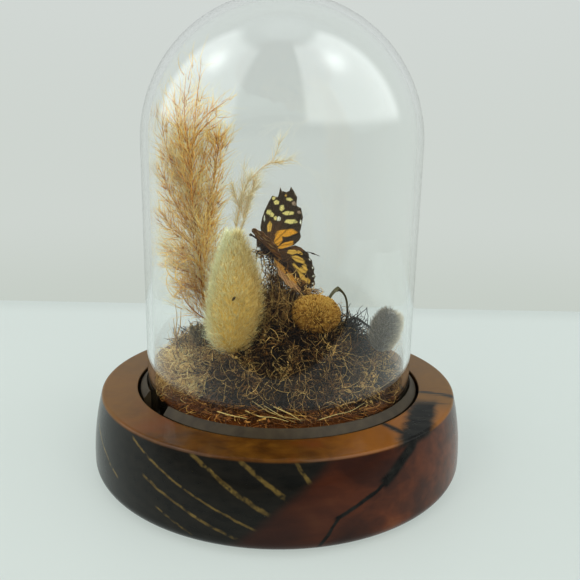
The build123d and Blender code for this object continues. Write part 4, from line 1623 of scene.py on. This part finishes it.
# The near hindwing shows only a worn face: orange by the body, mauve beyond
NEAR_HINDWING_MARKS = [
    (MAUVE, (9.5, 5.5), (9.5, 3.6), 0),
    (ORANGE, (8.5, 2.2), (7.0, 2.0), 0),
    (INK, (15.5, 4.0), (2.6, 0.5), 20),
    (INK, (9.0, 4.2), (4.0, 0.25), 10),
]
VEINS = 11
UNDERSIDE = (0.46, 0.22, 0.06)
UNDERSIDE_SHARE = 0.55
WORN_BROWN = (0.34, 0.15, 0.045)


def wing_colours(points, margin_share, spoke_share, marks, rng):
    """RGB for wing points: ink ground, brown root, the markings, dark veins and a pale fringe."""
    colours = np.tile(np.array(INK), (len(points), 1))
    root = np.clip(1.5 - 2.6 * margin_share, 0, 1)[:, None]
    colours = colours * (1 - root) + np.array(BROWN) * root
    for colour, centre, half, turn in marks:
        a = math.radians(turn)
        offset = points - np.array(centre)
        u = (offset[:, 0] * math.cos(a) + offset[:, 1] * math.sin(a)) / half[0]
        v = (-offset[:, 0] * math.sin(a) + offset[:, 1] * math.cos(a)) / half[1]
        edge = np.hypot(u, v) + 0.08 * np.sin(5 * np.arctan2(v, u) + turn)
        cover = np.clip((1.1 - edge) / 0.2, 0, 1)[:, None]
        colours = colours * (1 - cover) + np.array(colour) * cover
    vein = np.abs((spoke_share * VEINS) % 1 - 0.5)
    line = np.clip((0.055 - vein * np.maximum(margin_share, 0.15)) / 0.04, 0, 1) * 0.5
    colours *= (1 - line)[:, None]
    fringe = np.clip((margin_share - 0.965) / 0.03, 0, 1) * (np.sin(spoke_share * 150) > 0.2)
    colours = colours * (1 - 0.5 * fringe[:, None]) + 0.5 * fringe[:, None] * np.array((0.4, 0.35, 0.25))
    return np.clip(colours * (1 + 0.14 * rng.normal(size=(len(points), 1))), 0, 1)


def wing_material():
    """Scaly wing: painted colours with a fine powdery bump and a soft sheen."""
    material, output = new_material("wing")
    tree = material.node_tree
    painted = put(tree, "Attribute", attribute_name="tone").outputs["Color"]
    scales = object_noise(tree, 3500, detail=2)
    dimmed = blend_colours(tree, 0.25, painted, (0, 0, 0))
    settings = {
        "Base Color": blend_colours(tree, smooth_step(tree, scales, 0.3, 0.7), dimmed, painted),
        "Roughness": 0.75,
        "Specular IOR Level": 0.05,
        "Normal": bump(tree, scales, 0.05 * MM, 0.4),
    }
    finish_surface(tree, output, settings)
    return material


WING_SPOKES = 200
WING_RINGS = 80
WING_THICKNESS_MM = 0.09


def wing_faces():
    """Faces of two fanned sheets of spokes and rings, and of the edge that joins them."""
    spokes, rings = WING_SPOKES, WING_RINGS
    layer = spokes * rings
    faces = []
    for spoke in range(spokes - 1):
        for ring in range(rings - 1):
            a = spoke * rings + ring
            b = a + rings
            faces.append([a, b, b + 1, a + 1])
            faces.append([layer + a + 1, layer + b + 1, layer + b, layer + a])
    border = [s * rings for s in range(spokes)]
    border += [(spokes - 1) * rings + r for r in range(1, rings)]
    border += [s * rings + rings - 1 for s in range(spokes - 2, -1, -1)]
    border += list(range(rings - 2, 0, -1))
    for here, there in zip(border, border[1:] + border[:1]):
        faces.append([here, layer + here, layer + there, there])
    return faces


def make_wing(name, node, margin, marks, side, offset, cup, ripple, worn, material):
    """A thin closed membrane, fanned from its root, cupped and rippled along its veins.

    worn is the share of plain brown on the upper face.
    """
    rng = random_source(name)
    fan = np.array(margin, float)
    places = np.linspace(0, len(fan) - 1, WING_SPOKES)
    low = np.minimum(places.astype(int), len(fan) - 2)
    share = (places - low)[:, None]
    rim = fan[low] * (1 - share) + fan[low + 1] * share
    root = (fan[0] + fan[-1]) / 2 - np.array([0.4, 0.3])
    reach = np.linspace(0.02, 1, WING_RINGS)
    flat = root + reach[None, :, None] * (rim[:, None, :] - root)
    spoke_share = np.repeat((places / (len(fan) - 1))[:, None], WING_RINGS, axis=1)
    margin_share = np.repeat(reach[None, :], WING_SPOKES, axis=0)
    out = flat[..., 1]
    lift = cup * (out / 20) ** 2 * 20
    lift = lift + ripple * np.sin(spoke_share * VEINS * 2 * math.pi) * margin_share**1.5
    hinge = HEAD_TIP_MM + TAILWARDS * offset + side * BODY_RADIUS_MM * 0.6
    normal = unit(np.cross(TAILWARDS, side))
    points = hinge + flat[..., :1] * TAILWARDS + flat[..., 1:] * side + lift[..., None] * normal
    half = normal * WING_THICKNESS_MM / 2
    verts = np.concatenate([layer.reshape(-1, 3) for layer in (points + half, points - half)]) * MM
    colours = wing_colours(flat.reshape(-1, 2), margin_share.ravel(), spoke_share.ravel(), marks, rng)
    under = colours * (1 - UNDERSIDE_SHARE) + np.array(UNDERSIDE) * UNDERSIDE_SHARE
    upper = colours * (1 - worn) + np.array(WORN_BROWN) * worn
    add_piece(name, verts, wing_faces(), material, (node,), colours=np.vstack([upper, under]))


# Half profile of the body: distance from the head's tip and radius, in mm
BODY_PROFILE = [
    (0.0, 0.1), (0.7, 0.95), (1.5, 1.15), (2.4, 0.8), (3.4, 1.3), (5.2, 1.75), (7.2, 1.5), (8.6, 0.95),
    (10.5, 1.15), (13.5, 1.35), (16.5, 1.2), (19.5, 0.8), (BODY_LENGTH_MM, 0.1),
]
BODY_ROWS = 60
BODY_SIDES = 24
ANTENNA_RADII = np.array([[0.22, 0.2, 0.2, 0.2, 0.22, 0.3, 0.4, 0.2]]) * MM
LEG_LINES = [
    [(-6.9, -2, 79.2), (-8.8, -4.6, 78.4), (-8.9, -5.4, 75.0)],
    [(-5.5, -2, 77.9), (-7.2, -4.8, 77.0), (-6.5, -5.6, 73.0)],
    [(-4.3, -2, 76.8), (-3.0, -5.0, 75.4), (-3.5, -5.6, 71.4)],
    [(-5.5, 0, 77.9), (-6.8, 2.6, 77.0), (-6.1, 3.4, 73.0)],
    [(-4.3, 0, 76.8), (-2.4, 2.8, 75.4), (-3.3, 3.6, 71.4)],
    [(6.0, 0.9, 77.2), (9.6, 0.6, 78.4), (12.0, 0.4, 77.9), (14.6, 0.2, 77.0)],
]


def make_wings():
    """The four wings; the two near ones are worn."""
    wing = wing_material()
    fore = (FOREWING_MARGIN, FOREWING_MARKS, RIGHT_WING_SIDE, FOREWING_OFFSET_MM)
    hind = (HINDWING_MARGIN, HINDWING_MARKS, RIGHT_WING_SIDE, HINDWING_OFFSET_MM)
    near_fore = (NEAR_FOREWING_MARGIN, FOREWING_MARKS, LEFT_WING_SIDE, FOREWING_OFFSET_MM)
    near_hind = (HINDWING_MARGIN, NEAR_HINDWING_MARKS, LEFT_HINDWING_SIDE, HINDWING_OFFSET_MM)
    make_wing("wing_fore_right", "forewing_right", *fore, 0.03, 0.1, 0.0, wing)
    make_wing("wing_hind_right", "hindwing_right", *hind, -0.02, 0.14, 0.0, wing)
    make_wing("wing_fore_left", "forewing_left", *near_fore, -0.13, 0.15, 0.6, wing)
    make_wing("wing_hind_left", "hindwing_left", *near_hind, 0.1, 0.25, 0.15, wing)


def make_body(fur, rng):
    """The butterfly's body: a turned core along the line from head to tail, and its fur."""
    profile = curve_through([(radius, place, 0) for place, radius in BODY_PROFILE], BODY_ROWS) / MM
    body, faces = lathe(np.abs(profile[:, :2]), BODY_SIDES, closed=False)
    faces += end_faces(BODY_ROWS, BODY_SIDES)
    across = unit(np.cross(TAILWARDS, [0, 1, 0]))
    other = np.cross(TAILWARDS, across)
    body = (HEAD_TIP_MM + body[:, :1] * across + body[:, 1:2] * other + body[:, 2:] * TAILWARDS) * MM
    count = 2600
    starts = body[rng.integers(BODY_SIDES * 6, BODY_SIDES * 54, count)]
    head = HEAD_TIP_MM * MM
    centre_line = head + ((starts - head) @ TAILWARDS)[:, None] * TAILWARDS
    heading = unit(starts - centre_line) + TAILWARDS * 1.1
    paths = grow(starts, heading, rng.uniform(0.8, 2.0, count) * MM, 3, rng, curl=0.2, wander=0.12)
    radii = taper(count, 4, 0.06 * MM, 0.02 * MM, rng)
    hairs = strand_arrays(paths, radii, rng.uniform(0.1, 1.0, count), rng)
    parts = [(body, faces, np.full(len(body), 0.3)), hairs]
    add_parts("butterfly_fur", parts, fur, "insect_body", "butterfly_body")


def make_feelers_and_legs(fur, rng):
    """The two antenna stubs and the legs."""
    for label, y in (("left", -1.6), ("right", -0.4)):
        line = curve_through([(-9.0, y, 83.2), (-10.4, 1.6 * y, 84.3), (-11.7, 2.2 * y, 85.0)], 8)[None]
        stub = strand_arrays(line, ANTENNA_RADII, np.array([0.0]), rng, sides=6)
        add_parts("antenna_stub_" + label, [stub], fur, "insect_body", "antenna_" + label)
    lines = np.stack([curve_through(line, 12) for line in LEG_LINES])
    radii = taper(len(lines), 12, 0.22 * MM, 0.13 * MM, rng)
    # the last leg sticks out at the back and is thick near its end
    radii[-1, 7:9] *= 2.2
    legs = strand_arrays(lines, radii, np.full(len(lines), 0.1), rng, sides=5)
    add_parts("butterfly_leg_set", [legs], fur, "insect_body", "butterfly_legs")


def make_butterfly():
    """Wings, furry body, antenna stubs and legs."""
    rng = random_source("butterfly")
    fur = fibre_material(
        "insect_body",
        [(0.0, (0.012, 0.006, 0.004)), (0.5, (0.06, 0.026, 0.012)), (1.0, (0.30, 0.17, 0.06))],
        roughness=0.8,
    )
    make_wings()
    make_body(fur, rng)
    make_feelers_and_legs(fur, rng)


# ---------------------------------------------------------------- build

bpy.context.scene.view_settings.view_transform = "Standard"
bpy.context.scene.view_settings.gamma = 0.85
make_camera()
make_world()
make_fill_lights()
make_floor()
make_glass()
dress_node("base_block", wood_material())
dress_node("seat_strip", strip_material())
dress_node("felt_pad", felt_material())
dress_node("foam_core", foam_material())
dress_node("butterfly_wire", wire_material())
make_moss()
make_coir()
make_reeds()
make_bunny_tail()
make_button_flower()
make_catkin()
make_twigs()
make_small_bits()
make_butterfly()
